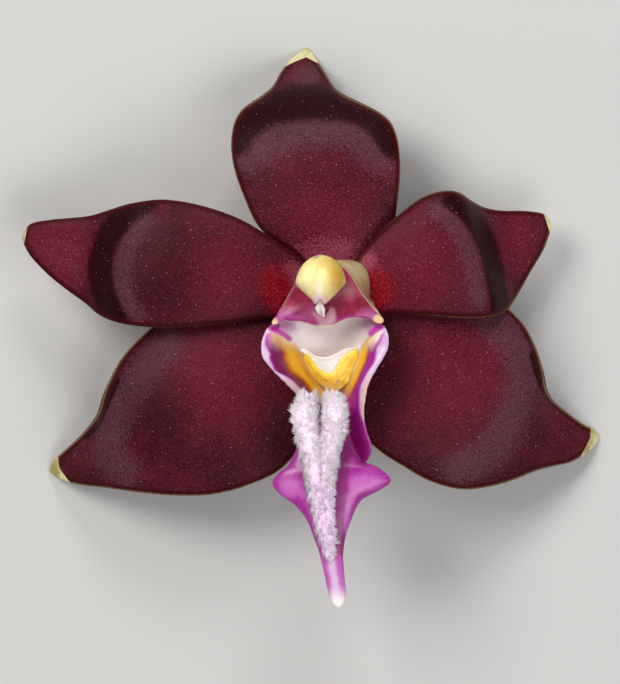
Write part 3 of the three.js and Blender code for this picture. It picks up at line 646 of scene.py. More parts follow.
def tepalBackMaterial():
    look = Nodes("tepalBack")
    patches, grain = look.noise(1.8, 4), look.noise(0.3, 2)
    skin = look.blend(look.step(patches, 0.4, 0.65), velvet["back"], velvet["rim"])
    skin = look.blend(look.times(look.step(grain, 0.45, 0.7), 0.6), skin, velvet["backRed"])
    streaks = look.step(look.noise(0.7, 5, 0.7), 0.5, 0.66)
    skin = look.blend(look.times(streaks, 0.6), skin, velvet["backRed"])
    relief = look.bump(look.cells(0.2), 0.4, 0.03, look.bump(patches, 0.4, 0.1))
    look.set(Base_Color=skin, Roughness=0.42, Normal=relief, Specular_IOR_Level=0.4)
    return look.material


tepalBack = tepalBackMaterial()
tepalCuts = {"along": 110, "across": 44, "rimPinch": 0.18}


def makeTepal(node, shape):
    low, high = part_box(node)
    alongCuts, acrossCuts = tepalCuts["along"], tepalCuts["across"]

    def surface(u, v):
        t = np.sin((v - 0.5) * math.pi)
        point = bladeAt(shape["stations"], shape["level"], np.clip(u, 0, 0.998), t)
        fan = smoothStep(u, 0.05, 0.3) * (1 - smoothStep(u, 0.75, 1.0)) * (1 - t**6)
        veins = np.cos(t * 24 + 1.2 * np.sin(u * 7)) * 0.008
        ripple = 0.03 * np.sin(u * 23 + t * 5) * np.sin(t * 7 - u * 9)
        point[:, 2] += fan * (veins + ripple)
        return point

    def rimShare(u, t):
        return np.sqrt(np.clip(1 - np.abs(t) ** 6, 0.02, 1)) * np.sqrt(np.clip(1 - u**24, 0.05, 1))

    piece = shapedGrid(shape["piece"], alongCuts, acrossCuts, surface)
    thinTowardsRim(piece, alongCuts, acrossCuts, rimShare)
    piece.data.materials.append(tepalMaterial(node, shape))
    piece.data.materials.append(tepalBack)
    faceUp(piece)
    modify(piece, "SOLIDIFY", thickness=shape["thickness"] * mm, offset=0, vertex_group="thick",
           thickness_vertex_group=tepalCuts["rimPinch"], material_offset=1, material_offset_rim=0,
           use_even_offset=False)
    subdivide(piece)
    points = pointsOf(piece)
    points[:, 2] = np.clip(points[:, 2], low.z / mm, high.z / mm)
    movePoints(piece, points)
    for name, values in tepalMasks(node, shape, points).items():
        paint(piece, name, values)
    finishPiece(piece, "tepal", node)


for node, shape in tepals.items():
    makeTepal(node, shape)
print("tepals done")

# ovary and stalk
ovary = {
    # x, y, z down the middle of the stalk, then its radius
    "path": [
        [1.9, 2.8, 10.0, 1.25], [1.9, 2.8, 8.9, 1.4], [1.9, 2.7, 8.0, 1.6], [1.9, 2.4, 7.3, 2.75],
        [1.9, 2.3, 6.4, 2.15], [2.1, 0.9, 4.1, 1.85], [2.3, -2.2, 2.2, 1.8], [2.1, -5.8, 1.6, 1.6],
        [1.8, -9.6, 1.35, 1.35], [1.5, -13.3, 1.2, 1.28],
    ],
    "ribs": 6, "ribDepth": 0.07, "twist": 1.1,
    "cut": [1.5, -13.05, 1.2], "cutRadius": 0.95,
    "green": tint("#b9b684"), "cream": tint("#d6cda4"), "fleck": tint("#8a4a48"), "cutFace": tint("#8f8a52"),
}


def ovaryMaterial():
    look = Nodes("ovaryGreen")
    cloud = look.noise(1.4, 4)
    skin = look.blend(look.step(cloud, 0.38, 0.66), ovary["green"], ovary["cream"])
    flecks = look.step(look.noise(0.3, 3), 0.6, 0.72)
    skin = look.blend(look.times(flecks, 0.55), skin, ovary["fleck"])
    # painted shade in the grooves between the ribs
    skin = look.blend(look.times(look.attribute("grooveShade"), 0.5), skin, ovary["cutFace"])
    skin = look.blend(look.attribute("cutFace"), skin, ovary["cutFace"])
    relief = look.bump(look.cells(0.16), 0.35, 0.03, look.bump(cloud, 0.3, 0.1))
    look.set(Base_Color=skin, Roughness=0.45, Normal=relief, Specular_IOR_Level=0.4, Subsurface_Weight=0.12,
             Subsurface_Scale=0.0008, Subsurface_Radius=(1.0, 0.8, 0.35))
    return look.material


def makeOvary():
    rows = np.array(ovary["path"])
    body = 0.92  # the rest of the grid closes the two ends

    def surface(u, v):
        q = np.clip((u - 0.03) / (body - 0.03), 0, 1)
        angle = v * 2 * math.pi
        rib = 1 + ovary["ribDepth"] * np.cos(ovary["ribs"] * (angle + ovary["twist"] * q)) * smoothStep(q, 0.22, 0.4)
        reach = curveAt(rows[:, 3:4], q)[:, 0] * rib
        shut = np.where(u < 0.03, u / 0.03, 1 - np.clip((u - body) / (1 - body), 0, 1))
        point = tubeAt(rows[:, :3], q, angle, reach * shut)
        point[:, 1] += 0.25 * (1 - shut**2) * (u > body)  # the cut end is slightly hollow
        return point

    piece = shapedGrid("ovaryPedicel", 150, 96, surface)
    closeUp(piece)
    points = pointsOf(piece)
    points[:, 2] = np.maximum(points[:, 2], 0)
    movePoints(piece, points)
    cutX, cutY, cutZ = ovary["cut"]
    nearCut = np.hypot(points[:, 0] - cutX, points[:, 2] - cutZ) < ovary["cutRadius"]
    paint(piece, "cutFace", (points[:, 1] < cutY) & nearCut)
    u = np.linspace(0, 1, 400)
    line = curveAt(rows, u)
    near = np.argmin(((points[:, None, :] - line[None, :, :3]) ** 2).sum(-1), axis=1)
    reach = np.linalg.norm(points - line[near, :3], axis=1) / line[near, 3]
    # darker in the grooves between the ribs: painted shade
    paint(piece, "grooveShade", smoothStep(1.02 - reach, 0, 0.09) * (reach > 0.85))
    piece.data.materials.append(ovaryMaterial())
    finishPiece(piece, "ovary", "ovary_pedicel")


makeOvary()

# column
column = {
    "outline": [
        [0.9, 5.7], [-0.1, 5.5], [-0.8, 4.95], [-1.3, 4.1], [-1.85, 3.1], [-2.45, 2.0], [-3.0, 1.1], [-3.3, 0.7],
        [-3.3, 0.35], [-2.85, 0.4], [-2.2, 0.72], [-1.75, 0.62], [-1.2, 0.55], [-0.6, 0.45], [0.0, 0.27], [0.6, 0.1],
        [1.2, 0.02], [1.75, 0.12], [2.4, 0.45], [3.0, 0.72], [3.7, 0.82], [4.3, 0.85], [4.9, 0.78], [5.5, 0.5],
        [6.0, 0.4], [6.2, 0.75], [5.8, 1.15], [5.2, 1.8], [4.6, 2.6], [4.1, 3.45], [3.6, 4.3], [3.0, 5.1], [2.1, 5.6],
    ],
    "centre": [1.4, 2.6], "shoulder": 14.35, "foot": [2.45, 2.6],
    "sections": [
        {"z": 13.95, "scale": 1.012, "shift": (0.02, -0.05)},
        {"z": 13.4, "scale": 0.985, "shift": (0.1, 0.03)},
        {"z": 12.5, "scale": 0.8, "shift": (0.7, 0.7), "roundness": 0.3},
        {"z": 11.3, "scale": 0.7, "shift": (1.15, 0.7), "roundness": 0.8},
        {"z": 10.15, "scale": 0.7, "shift": (1.3, 0.7), "roundness": 1.0},
    ],
    "stigma": {"centre": (1.4, 1.1, 12.1), "radii": (1.7, 1.5, 0.8)},
    "rose": tint("#9c2048"), "wine": tint("#7a0628"), "magenta": tint("#9c1c72"), "violet": tint("#95407a"),
    "mauve": tint("#b58391"), "flank": tint("#bba97a"), "flankShade": tint("#8a5f3e"), "cream": tint("#efe6c4"),
    "cornerTan": tint("#d9b98c"), "cavity": tint("#e6dcd2"), "wing": tint("#a94f8c"),
    "slitShade": tint("#74003c"), "rimLine": tint("#8e0f6e"), "voxel": 0.085,
}


def columnMaterial():
    look = Nodes("columnFlesh")
    cloud, grain = look.noise(1.5, 2), look.noise(0.3, 3)
    skin = look.blend(look.step(cloud, 0.36, 0.64), column["wine"], column["rose"])
    # brighter magenta towards the lower rim
    lower = look.math("SUBTRACT", 1, look.step(look.math("ADD", look.axis("Y"), look.times(cloud, 0.8)), 0.7, 2.0))
    skin = look.blend(look.times(lower, 0.7), skin, column["magenta"])
    skin = look.blend(look.times(look.spot((-0.2, 1.1), (1.0, 0.8), 0.7, 0.6), 0.6), skin, column["violet"])
    skin = look.blend(look.times(look.spot((-1.0, 2.0), (0.7, 0.7), 0.8, 0.5), 0.5), skin, column["wine"])
    skin = look.blend(look.times(look.spot((2.2, 2.1), (0.55, 0.9), 0.8, 0.5), 0.7), skin, column["wine"])
    skin = look.blend(look.times(look.spot((3.3, 3.2), (0.4, 0.7), 0.8, 0.8), 0.35), skin, column["mauve"])
    skin = look.blend(look.times(look.step(grain, 0.62, 0.8), 0.15), skin, column["mauve"])
    # clear tissue under the beak, with painted shade in the dark slit at each side
    skin = look.blend(look.times(look.attribute("clearPatch"), 0.85), skin, column["mauve"])
    skin = look.blend(look.attribute("slitShades"), skin, column["slitShade"])
    skin = look.blend(look.times(look.attribute("leftSkirt"), 0.55), skin, column["mauve"])
    skin = look.blend(look.times(look.attribute("wings"), 0.75), skin, column["wing"])
    # the rim: a magenta line and a cream edge under it
    skin = look.blend(look.times(look.attribute("rimLine"), 0.9), skin, column["rimLine"])
    skin = look.blend(look.attribute("rimEdge"), skin, column["cream"])
    skin = look.blend(look.attribute("corners"), skin, column["cornerTan"])
    # painted shade: the flank darkens towards its foot
    flankShade = look.blend(look.step(look.axis("Y"), 1.8, 5.4), column["flankShade"], column["flank"])
    skin = look.blend(look.attribute("flank"), skin, flankShade)
    skin = look.blend(look.attribute("cavity"), skin, column["cavity"])
    relief = look.bump(look.cells(0.16), 0.15, 0.02, look.bump(look.noise(0.7, 3), 0.3, 0.1))
    look.set(Base_Color=skin, Roughness=look.math("ADD", look.times(grain, 0.15), 0.26), Normal=relief,
             Specular_IOR_Level=0.4, Subsurface_Weight=0.2, Subsurface_Scale=0.0009,
             Subsurface_Radius=(1.0, 0.35, 0.4))
    return look.material


def columnFace(x, y, r):
    fromMiddle = np.abs(x - column["centre"][0])
    face = column["shoulder"] - 0.6 * smoothStep(fromMiddle, 1.8, 4.8) - 0.25 * r**4
    # a low ridge runs down to the beak's foot, and the face puckers softly beside it
    face += 0.14 * blot(x, y, (1.2, 0.8), (0.7, 0.95), 0.7) * (1 - r**8)
    # the face sinks a little on each side of the beak and rises to a lip along its rim
    face -= 0.22 * (blot(x, y, (-0.7, 1.9), (1.1, 1.0), 0.8) + blot(x, y, (3.0, 2.0), (1.2, 1.1), 0.8))
    return face + 0.05 * smoothStep(r, 0.8, 0.95)


def makeColumn():
    piece = blockPiece("columnHood", column, columnFace, aroundCuts=220, ringCuts=90, faceShare=0.5)
    stigma = column["stigma"]
    bpy.ops.object.select_all(action="DESELECT")
    bpy.ops.mesh.primitive_uv_sphere_add(segments=48, ring_count=24, radius=mm, location=(0, 0, 0))
    hollow = bpy.context.object
    movePoints(hollow, pointsOf(hollow) * stigma["radii"] + stigma["centre"])
    modify(piece, "BOOLEAN", operation="DIFFERENCE", object=hollow, solver="EXACT")
    bpy.data.objects.remove(hollow)
    modify(piece, "REMESH", mode="VOXEL", voxel_size=column["voxel"] * mm)
    dropCrumbs(piece)
    modify(piece, "SMOOTH", factor=0.5, iterations=6)
    points = pointsOf(piece)
    x, y, z = points.T
    rim = curveAt(column["outline"], np.linspace(0, 1, 500), closed=True)
    edge = np.full(len(x), 9.0)
    for px, py in rim:
        edge = np.minimum(edge, np.hypot(x - px, y - py))
    face = columnFace(x, y, 0 * x)
    lowSide = smoothStep(2.0 - y, 0.2, 1.2)
    below = face - z
    paint(piece, "rimLine", smoothStep(0.24 - edge, 0, 0.12) * lowSide * (1 - smoothStep(below, 0.12, 0.3)))
    rightSide = smoothStep(x - 0.55 * (5.4 - y), 1.9, 2.3)
    freeRim = lowSide * smoothStep(x, -1.9, -1.0) * (1 - smoothStep(x, 3.9, 4.9))
    underRim = smoothStep(below, 0.16, 0.32) * (1 - smoothStep(below, 0.75, 0.95))
    paint(piece, "rimEdge", underRim * np.maximum(freeRim, rightSide * 0.8))
    wings = blot(x, y, (-2.3, 0.75), (0.9, 0.8), 0.6) + blot(x, y, (5.0, 0.9), (1.0, 0.7), 0.6)
    paint(piece, "wings", np.clip(wings, 0, 1) * (1 - smoothStep(y, 1.5, 2.6)))
    left = stroke(x, y, [[-1.2, 5.0], [-1.9, 3.6], [-2.8, 1.8], [-3.4, 0.5]], 0.35, 0.7)
    paint(piece, "leftSkirt", left)
    paint(piece, "corners", np.maximum(blot(x, y, (-3.2, 0.45), (0.3, 0.35)), blot(x, y, (5.9, 0.75), (0.5, 0.4), 0.4)))
    flank = smoothStep(below, 0.75, 1.0) * smoothStep(x + 0.25 * (y - 3), 1.4, 2.6) * smoothStep(y, 0.9, 1.5)
    paint(piece, "flank", flank)
    paint(piece, "cavity", smoothStep(below, 1.05, 1.3) * (1 - smoothStep(y, 1.9, 2.6)))
    patch = stroke(x, y, [[0.62, 1.25], [0.9, 0.6], [1.3, 0.3], [1.75, 0.5], [1.75, 1.4]], 0.34, 0.6)
    patch = np.maximum(patch, blot(x, y, (1.2, 0.75), (0.62, 0.62), 0.3))
    paint(piece, "clearPatch", patch)
    # painted shade in the slits beside the lance
    slitShades = np.maximum(stroke(x, y, [[0.3, 1.55], [0.42, 1.35], [0.55, 1.15]], 0.09, 0.5),
                       stroke(x, y, [[1.52, 1.62], [1.38, 1.4], [1.22, 1.18]], 0.09, 0.5))
    paint(piece, "slitShades", slitShades)
    piece.data.materials.append(columnMaterial())
    finishPiece(piece, "column", "column")


makeColumn()

# anther cap and pollinarium
cap = {
    "outline": [
        [0.85, 6.3], [0.2, 6.15], [-0.4, 5.78], [-0.85, 5.3], [-1.15, 4.7], [-1.33, 4.15], [-1.32, 3.72],
        [-0.9, 3.25], [-0.4, 2.8], [0.03, 2.38], [0.33, 2.02], [0.76, 1.84], [1.2, 2.0], [1.55, 2.3], [1.95, 2.68],
        [2.5, 3.25], [2.98, 3.85], [2.93, 4.5], [2.72, 5.1], [2.35, 5.62], [1.75, 6.08],
    ],
    "centre": [0.85, 4.2], "bottom": 14.55, "height": 2.1,
    "sections": [{"z": 14.55, "scale": 0.94}],
    "cream": tint("#f2e3a0"), "butter": tint("#e9d27e"), "gold": tint("#c49a2c"), "amberShade": tint("#a0762a"),
    "keel": tint("#f4e4cc"), "blush": tint("#e3b5cc"), "apex": tint("#b99a86"), "litLemon": tint("#f7ecb4"),
}
lance = {
    # left edge x, y, right edge x, y down the pale lance under the beak
    "stations": [
        [0.62, 4.0, 1.0, 4.0], [0.66, 3.2, 0.94, 3.2], [0.7, 2.6, 0.84, 2.6], [0.73, 2.46, 0.8, 2.46],
        [0.54, 2.05, 1.02, 2.03], [0.36, 1.68, 1.22, 1.6], [0.46, 1.4, 1.2, 1.32], [0.6, 1.15, 1.19, 1.1],
        [0.82, 0.98, 1.22, 0.92], [1.05, 0.86, 1.2, 0.84],
    ],
    "height": [14.75, 14.8, 14.86, 14.9, 14.92, 14.9, 14.84, 14.76, 14.64, 14.5],
    "pollinia": [(0.4, 4.35), (1.3, 4.35)],
    "pale": tint("#e2d8cf"), "milk": tint("#e6dcd6"), "grey": tint("#b98795"), "wax": tint("#e3b53a"),
}


def capFace(x, y, r):
    beak = smoothStep(cap["centre"][1] - y, -0.4, 2.6)
    dome = np.sqrt(np.clip(1 - r ** (3 + 2 * beak), 0, 1))
    face = cap["bottom"] + 0.25 + (cap["height"] - 0.9 * beak) * dome
    # two lobes with a furrow between them, which turns into a low keel towards the beak
    middle = np.exp(-(((x - 0.74) / 0.3) ** 2))
    upper = smoothStep(y, 2.6, 5.2)
    face += dome * middle * (-0.2 * upper + 0.12 * (1 - upper))
    face -= 0.14 * dome * np.exp(-(((x - 2.35) / 0.3) ** 2)) * upper
    # the beak is notched where the lance comes out
    notch = smoothStep(2.5 - y - np.abs(x - 0.77) * 1.15, 0, 0.12)
    return face * (1 - notch) + (cap["bottom"] + 0.06) * notch


def capMaterial():
    look = Nodes("antherWax")
    cloud = look.noise(1.2, 3)
    skin = look.blend(look.step(cloud, 0.35, 0.65), cap["cream"], cap["butter"])
    # painted light: the left side paler, towards the key lamp
    skin = look.blend(look.times(look.spot((-0.35, 4.0), (0.65, 1.4), 0.8), 0.6), skin, cap["litLemon"])
    # painted shade: golden and amber on the right side, away from the key lamp
    skin = look.blend(look.times(look.spot((2.2, 4.5), (0.7, 1.4), 0.8), 0.9), skin, cap["gold"])
    skin = look.blend(look.times(look.spot((2.55, 4.2), (0.25, 0.9), 0.8), 0.5), skin, cap["amberShade"])
    skin = look.blend(look.times(look.spot((1.35, 5.6), (0.9, 0.45), 0.7), 0.5), skin, cap["gold"])
    skin = look.blend(look.times(look.spot((0.72, 3.1), (0.34, 1.1), 0.7), 0.85), skin, cap["keel"])
    skin = look.blend(look.times(look.spot((0.75, 2.2), (0.85, 0.62), 0.6), 0.7), skin, cap["blush"])
    skin = look.blend(look.times(look.spot((0.45, 6.15), (0.28, 0.22), 0.5), 0.8), skin, cap["apex"])
    relief = look.bump(look.cells(0.13), 0.2, 0.02, look.bump(cloud, 0.25, 0.1))
    look.set(Base_Color=skin, Roughness=0.42, Normal=relief, Specular_IOR_Level=0.35, Subsurface_Weight=0.35,
             Subsurface_Scale=0.0011, Subsurface_Radius=(1.0, 0.75, 0.3))
    return look.material


def makeCap():
    piece = blockPiece("antherCap", cap, capFace, aroundCuts=120, ringCuts=64, faceShare=0.8)
    points = pointsOf(piece)
    x, y, z = points.T
    # the helmet is hollow underneath
    reach = np.hypot((x - 0.85) / 1.45, (y - 4.3) / 1.35)
    under = (z < cap["bottom"] + 0.01) & (reach < 1)
    points[under, 2] += 1.3 * np.sqrt(1 - reach[under] ** 2)
    movePoints(piece, points)
    subdivide(piece)
    piece.data.materials.append(capMaterial())
    finishPiece(piece, "anther_cap", "anther_cap")


def pollinariumMaterial():
    look = Nodes("polliniaWax")
    grain = look.noise(0.3, 3)
    skin = look.blend(look.step(grain, 0.4, 0.7), lance["pale"], lance["milk"])
    skin = look.blend(look.times(look.spot((0.84, 1.1), (0.2, 0.5), 0.7), 0.8), skin, lance["grey"])
    skin = look.blend(look.step(look.axis("Y"), 3.4, 3.7), skin, lance["wax"])
    look.set(Base_Color=skin, Roughness=0.32, Normal=look.bump(grain, 0.3, 0.04), Specular_IOR_Level=0.5,
             Subsurface_Weight=0.25, Subsurface_Scale=0.0006, Subsurface_Radius=(1.0, 0.7, 0.6))
    return look.material


def makePollinarium():
    stations = np.array(lance["stations"])
    heights = np.array(lance["height"])[:, None]

    def surface(u, v):
        angle = v * 2 * math.pi
        left, right = curveAt(stations[:, :2], u), curveAt(stations[:, 2:], u)
        z = curveAt(heights, u)[:, 0]
        ends = np.sqrt(np.clip(1 - np.abs(2 * u - 1) ** 14, 0, 1))
        share = 0.5 - 0.5 * np.cos(angle) * ends
        plan = left * (1 - share[:, None]) + right * share[:, None]
        dent = 0.05 * np.abs(np.sin(angle)) * np.exp(-(((share - 0.5) / 0.2) ** 2))
        lift = (0.14 * np.sin(angle) - dent) * ends
        return np.concatenate([plan, (z + lift)[:, None]], 1)

    strap = shapedGrid("strap", 60, 24, surface)
    closeUp(strap)
    bodies = [strap]
    for x, y in lance["pollinia"]:
        bpy.ops.object.select_all(action="DESELECT")
        bpy.ops.mesh.primitive_uv_sphere_add(segments=32, ring_count=20, radius=mm)
        ball = bpy.context.object
        points = pointsOf(ball)
        points[:, 0] -= 0.12 * np.exp(-((points[:, 1] / 0.5) ** 2)) * (points[:, 2] > 0)
        movePoints(ball, points * (0.42, 0.62, 0.42) + (x, y, 15.05))
        bodies.append(ball)
    piece = join("polliniaStrap", bodies)
    piece.data.materials.append(pollinariumMaterial())
    finishPiece(piece, "pollinia", "pollinarium")


makeCap()
makePollinarium()
print("column and cap done")

# lip
lip = {
    # throat: y, x of the left and right rims, heights of rim and floor
    "throat": [
        [1.2, -1.5, 4.6, 11.7, 11.3], [0.4, -3.0, 5.9, 12.4, 11.1], [-0.4, -3.95, 6.6, 13.4, 11.0],
        [-1.6, -4.3, 6.7, 13.9, 10.9], [-2.7, -4.1, 6.2, 14.1, 10.8], [-3.8, -3.15, 5.5, 14.1, 10.8],
        [-4.9, -2.05, 4.95, 13.9, 10.8], [-6.0, -1.1, 4.7, 13.6, 10.8], [-7.5, -0.9, 4.55, 13.1, 10.8],
        [-9.0, -1.1, 4.85, 12.6, 10.8], [-10.4, -1.2, 5.3, 12.2, 10.9], [-11.6, -0.6, 4.8, 11.9, 11.0],
        [-12.5, 1.0, 3.4, 11.6, 11.3],
    ],
    "wall": 0.75,
    # midlobe: first edge x, y, second edge x, y, height of the middle, drop of each edge
    "midlobe": [
        [-0.6, -7.0, 3.4, -7.2, -1.6, 0.0, 0.0], [-0.9, -8.7, 3.3, -8.9, -0.5, 0.3, 0.4],
        [-1.25, -10.4, 3.85, -10.7, 0.2, 0.4, 0.7], [-2.0, -12.0, 4.8, -11.85, 0.5, 0.5, 0.8],
        [-2.85, -12.65, 5.9, -12.25, 0.6, 0.6, 0.7], [-3.35, -13.4, 6.95, -13.2, 0.6, 0.7, 0.6],
        [-2.9, -14.3, 6.2, -13.9, 0.6, 0.6, 0.7], [-1.4, -15.4, 4.5, -14.75, 0.6, 0.5, 0.8],
        [-0.4, -16.6, 3.65, -16.1, 0.6, 0.4, 0.7], [0.2, -18.0, 2.95, -18.0, 0.5, 0.3, 0.5],
        [0.75, -19.5, 2.7, -19.7, 0.5, 0.2, 0.3], [1.2, -21.2, 2.8, -21.4, 0.5, 0.2, 0.2],
        [1.55, -23.1, 3.0, -23.0, 0.6, 0.1, 0.1], [1.8, -24.0, 2.95, -23.85, 0.7, 0.0, 0.0],
        [2.4, -24.45, 2.4, -24.45, 0.7, 0.0, 0.0],
    ],
    "level": 14.6, "flesh": 1.0, "thickest": 1.5,
    "keel": {
        "outline": [[0.9, -6.3], [-0.8, -6.9], [-1.3, -8.6], [-1.1, -10.8], [-0.3, -12.8],
                    [0.9, -14.2], [2.2, -12.8], [2.9, -10.8], [3.0, -8.6], [2.6, -6.9]],
        "centre": [0.95, -9.8],
        "sections": [{"z": 14.3, "scale": 0.97}, {"z": 12.4, "scale": 0.8, "shift": (0.4, 0.2)},
                     {"z": 11.0, "scale": 0.66, "shift": (0.7, 0.3)}],
    },
    "voxel": 0.105,
    # on each wall: where the pale margin meets the purple, and where the yellow meets the cavity
    "leftMargin": [[-3.85, 0.2], [-3.91, -0.65], [-3.96, -1.35], [-3.86, -1.74], [-3.6, -2.3], [-3.62, -2.65],
                   [-3.3, -3.52], [-3.0, -3.87], [-2.26, -4.22], [-1.48, -4.74], [-0.78, -5.7], [-0.52, -6.3]],
    "leftYellow": [[-2.5, -0.4], [-1.87, -1.0], [-1.39, -1.43], [-1.04, -1.96], [-0.7, -3.0], [-0.17, -3.87],
                   [0.35, -4.57], [0.87, -5.35], [1.04, -5.96]],
    "rightMargin": [[6.3, 0.3], [6.26, -0.48], [6.13, -1.0], [5.74, -1.7], [5.67, -2.3], [5.52, -3.04], [5.04, -3.7],
                    [4.61, -4.48], [4.26, -5.26], [4.17, -6.3], [4.2, -7.2], [4.45, -8.2]],
    "rightYellow": [[5.6, -0.3], [5.13, -0.65], [4.45, -1.55], [4.22, -2.39], [3.83, -3.7], [3.48, -4.74],
                    [3.13, -5.43], [2.78, -6.13]],
    "white": tint("#e2d3d6"), "cavity": tint("#e4dad4"), "greyShade": tint("#b9a697"), "margin": tint("#d0b8d4"),
    "marginTan": tint("#d6a996"), "lilac": tint("#b98ac2"), "purple": tint("#9a1286"), "magenta": tint("#72034c"),
    "wallPurple": tint("#a5127e"), "deepPurple": tint("#740a58"), "violet": tint("#9e278e"),
    "violetLine": tint("#a32a9a"), "fan": tint("#b6179c"), "pinkLilac": tint("#bf66b3"), "mauve": tint("#bb6fae"),
    "brown": tint("#92381c"), "orange": tint("#cc7a10"), "yellow": tint("#dfab2c"), "ochre": tint("#bd8a16"),
    "tan": tint("#cdaa6c"), "peach": tint("#d2a47c"), "cream": tint("#e6d6bc"), "outside": tint("#dcc4c8"),
    "tipWhite": tint("#e9e6e0"),
}


def throatAt(x, y):
    # height of the throat's middle surface and the place across it (-1 left rim, 1 right rim)
    rows = np.array(lip["throat"])
    u = np.linspace(0, 1, 600)
    line = curveAt(rows, u)
    order = np.argsort(line[:, 0])
    left, right, rim, floorZ = (np.interp(y, line[order, 0], line[order, k]) for k in (1, 2, 3, 4))
    t = np.clip((x - left) / np.maximum(right - left, 0.1) * 2 - 1, -1.2, 1.2)
    inside = np.clip(np.abs(t), 0, 1)
    return floorZ + (rim - floorZ) * inside**3 * (1.9 - 0.9 * inside**4), t


def lipMasks(x, y, z):
    # strokes drawn on the plan, in millimetres
    masks = {}
    surface, t = throatAt(x, y)
    lobe = smoothStep(z - surface, 0.75, 1.3) * smoothStep(-y, 6.2, 7.2)
    lobe = np.maximum(lobe, smoothStep(-y, 12.0, 12.6))
    lobe = np.maximum(lobe, (np.abs(t) > 1.1) * (y < -11))
    masks["lobe"] = lobe
    throat = 1 - lobe
    masks["outside"] = smoothStep(surface - z, 0.05, 0.25) * throat
    left = acrossAt(x, y, lip["leftMargin"], lip["leftYellow"])
    right = acrossAt(x, y, lip["rightMargin"], lip["rightYellow"])
    masks["leftAcross"], masks["rightAcross"] = np.clip(left, 0, 1), np.clip(right, 0, 1)
    lowEnd = smoothStep(y, -6.6, -6.0)
    masks["leftWall"] = (1 - smoothStep(left, 0.94, 1.12)) * (1 - smoothStep(y, -0.7, -0.2)) * lowEnd * throat
    masks["rightWall"] = (1 - smoothStep(right, 0.94, 1.12)) * (1 - smoothStep(y, -0.7, -0.3)) * throat
    # the pale margin outside those lines is violet at the top and tan along the lower edge
    leftRim, rightRim = (t + 1) * 5.2, (1 - t) * 5.2  # near the distance from each rim in millimetres
    # 0.13 mm of softness, as a share of each wall's width
    leftSoft, rightSoft = 0.13 / np.array([2.6, 1.2])
    masks["leftMargin"] = (1 - smoothStep(left, -leftSoft, leftSoft)) * (t < 0) * throat
    rightEnd = smoothStep(y, -8.6, -7.8)
    masks["rightMargin"] = (1 - smoothStep(right, -rightSoft, rightSoft)) * (t > 0) * rightEnd * throat
    edge = 1 - smoothStep(np.minimum(leftRim, rightRim), 0.1, 0.3)
    masks["topViolet"] = smoothStep(y, -1.75, -1.3) * (1 - edge) * throat
    alongRim = np.maximum((t < 0) * 0.75, 1 - smoothStep(rightRim, 0.15, 0.8))
    masks["tanRim"] = smoothStep(-y, 3.6, 5.4) * alongRim * throat
    between = smoothStep(left, 0.9, 1.1) * smoothStep(right, 0.9, 1.1) * throat
    masks["floorTan"] = between * smoothStep(-y + 0.35 * np.abs(x - 1.8), 2.6, 3.3)
    masks["floorGold"] = between * smoothStep(-y, 3.4, 4.6)
    masks["fan"] = np.clip(
        stroke(x, y, [[-3.5, -0.05], [-3.0, -0.25], [-2.4, -0.6], [-1.85, -0.98]], 0.24, 0.95)
        + stroke(x, y, [[5.2, -0.5], [5.7, -0.1], [6.3, 0.2]], 0.3, 0.9), 0, 1) * throat
    masks["darkWall"] = smoothStep(t, -0.1, 0.3) * smoothStep(-y, 5.0, 6.6) * throat
    masks["wallEdge"] = smoothStep(t, 0.72, 0.95) * smoothStep(-y, 7.2, 8.4) * throat
    masks["toothLine"] = blot(x, y, (-3.15, 0.15), (0.42, 0.5), 0.4) * throat
    masks["mauvePatch"] = np.clip(
        blot(x, y, (-2.35, 0.1), (1.05, 0.7), 0.7) + blot(x, y, (5.4, 0.25), (1.0, 0.65), 0.7)
        + blot(x, y, (-3.4, -0.9), (0.5, 0.7), 0.8) * 0.8, 0, 1) * throat
    # painted shade: greyer towards the right of the cavity
    masks["greyShade"] = blot(x, y, (4.3, 0.1), (1.2, 1.3), 0.8) * throat
    # midlobe
    # painted shade in the valley beside the brush
    valleyShade = [[3.2, -9.6], [2.85, -12.2], [2.6, -14.6], [2.4, -17.0], [2.5, -19.2]]
    masks["valleyShade"] = stroke(x, y, valleyShade, 0.5, 0.7) * lobe
    # painted shade where the midlobe meets the right wall
    masks["junctionShade"] = stroke(x, y, [[3.4, -8.3], [3.8, -10.2], [4.4, -11.6]], 0.6, 0.9) * lobe
    masks["pale"] = np.clip(
        blot(x, y, (-1.8, -13.9), (1.1, 1.0), 0.8) + blot(x, y, (4.7, -13.4), (1.5, 0.75), 0.8)
        + stroke(x, y, [[3.9, -14.0], [3.2, -15.6], [2.9, -17.5]], 0.4, 0.8) * 0.8
        + stroke(x, y, [[-0.3, -14.6], [0.3, -16.6], [1.0, -19.0], [1.5, -21.0]], 0.5, 0.9) * 0.7, 0, 1) * lobe
    masks["whiteTip"] = smoothStep(-y, 22.2, 24.2) * lobe
    # a pale ridge towards the tip, partly its own colour and partly a painted highlight
    masks["ridgeAndHighlight"] = stroke(x, y, [[1.6, -19.6], [1.85, -20.8], [2.1, -22.2], [2.3, -23.6]], 0.34, 1.0) * lobe
    masks["tipSides"] = smoothStep(-y, 18.5, 22.5) * lobe
    return masks


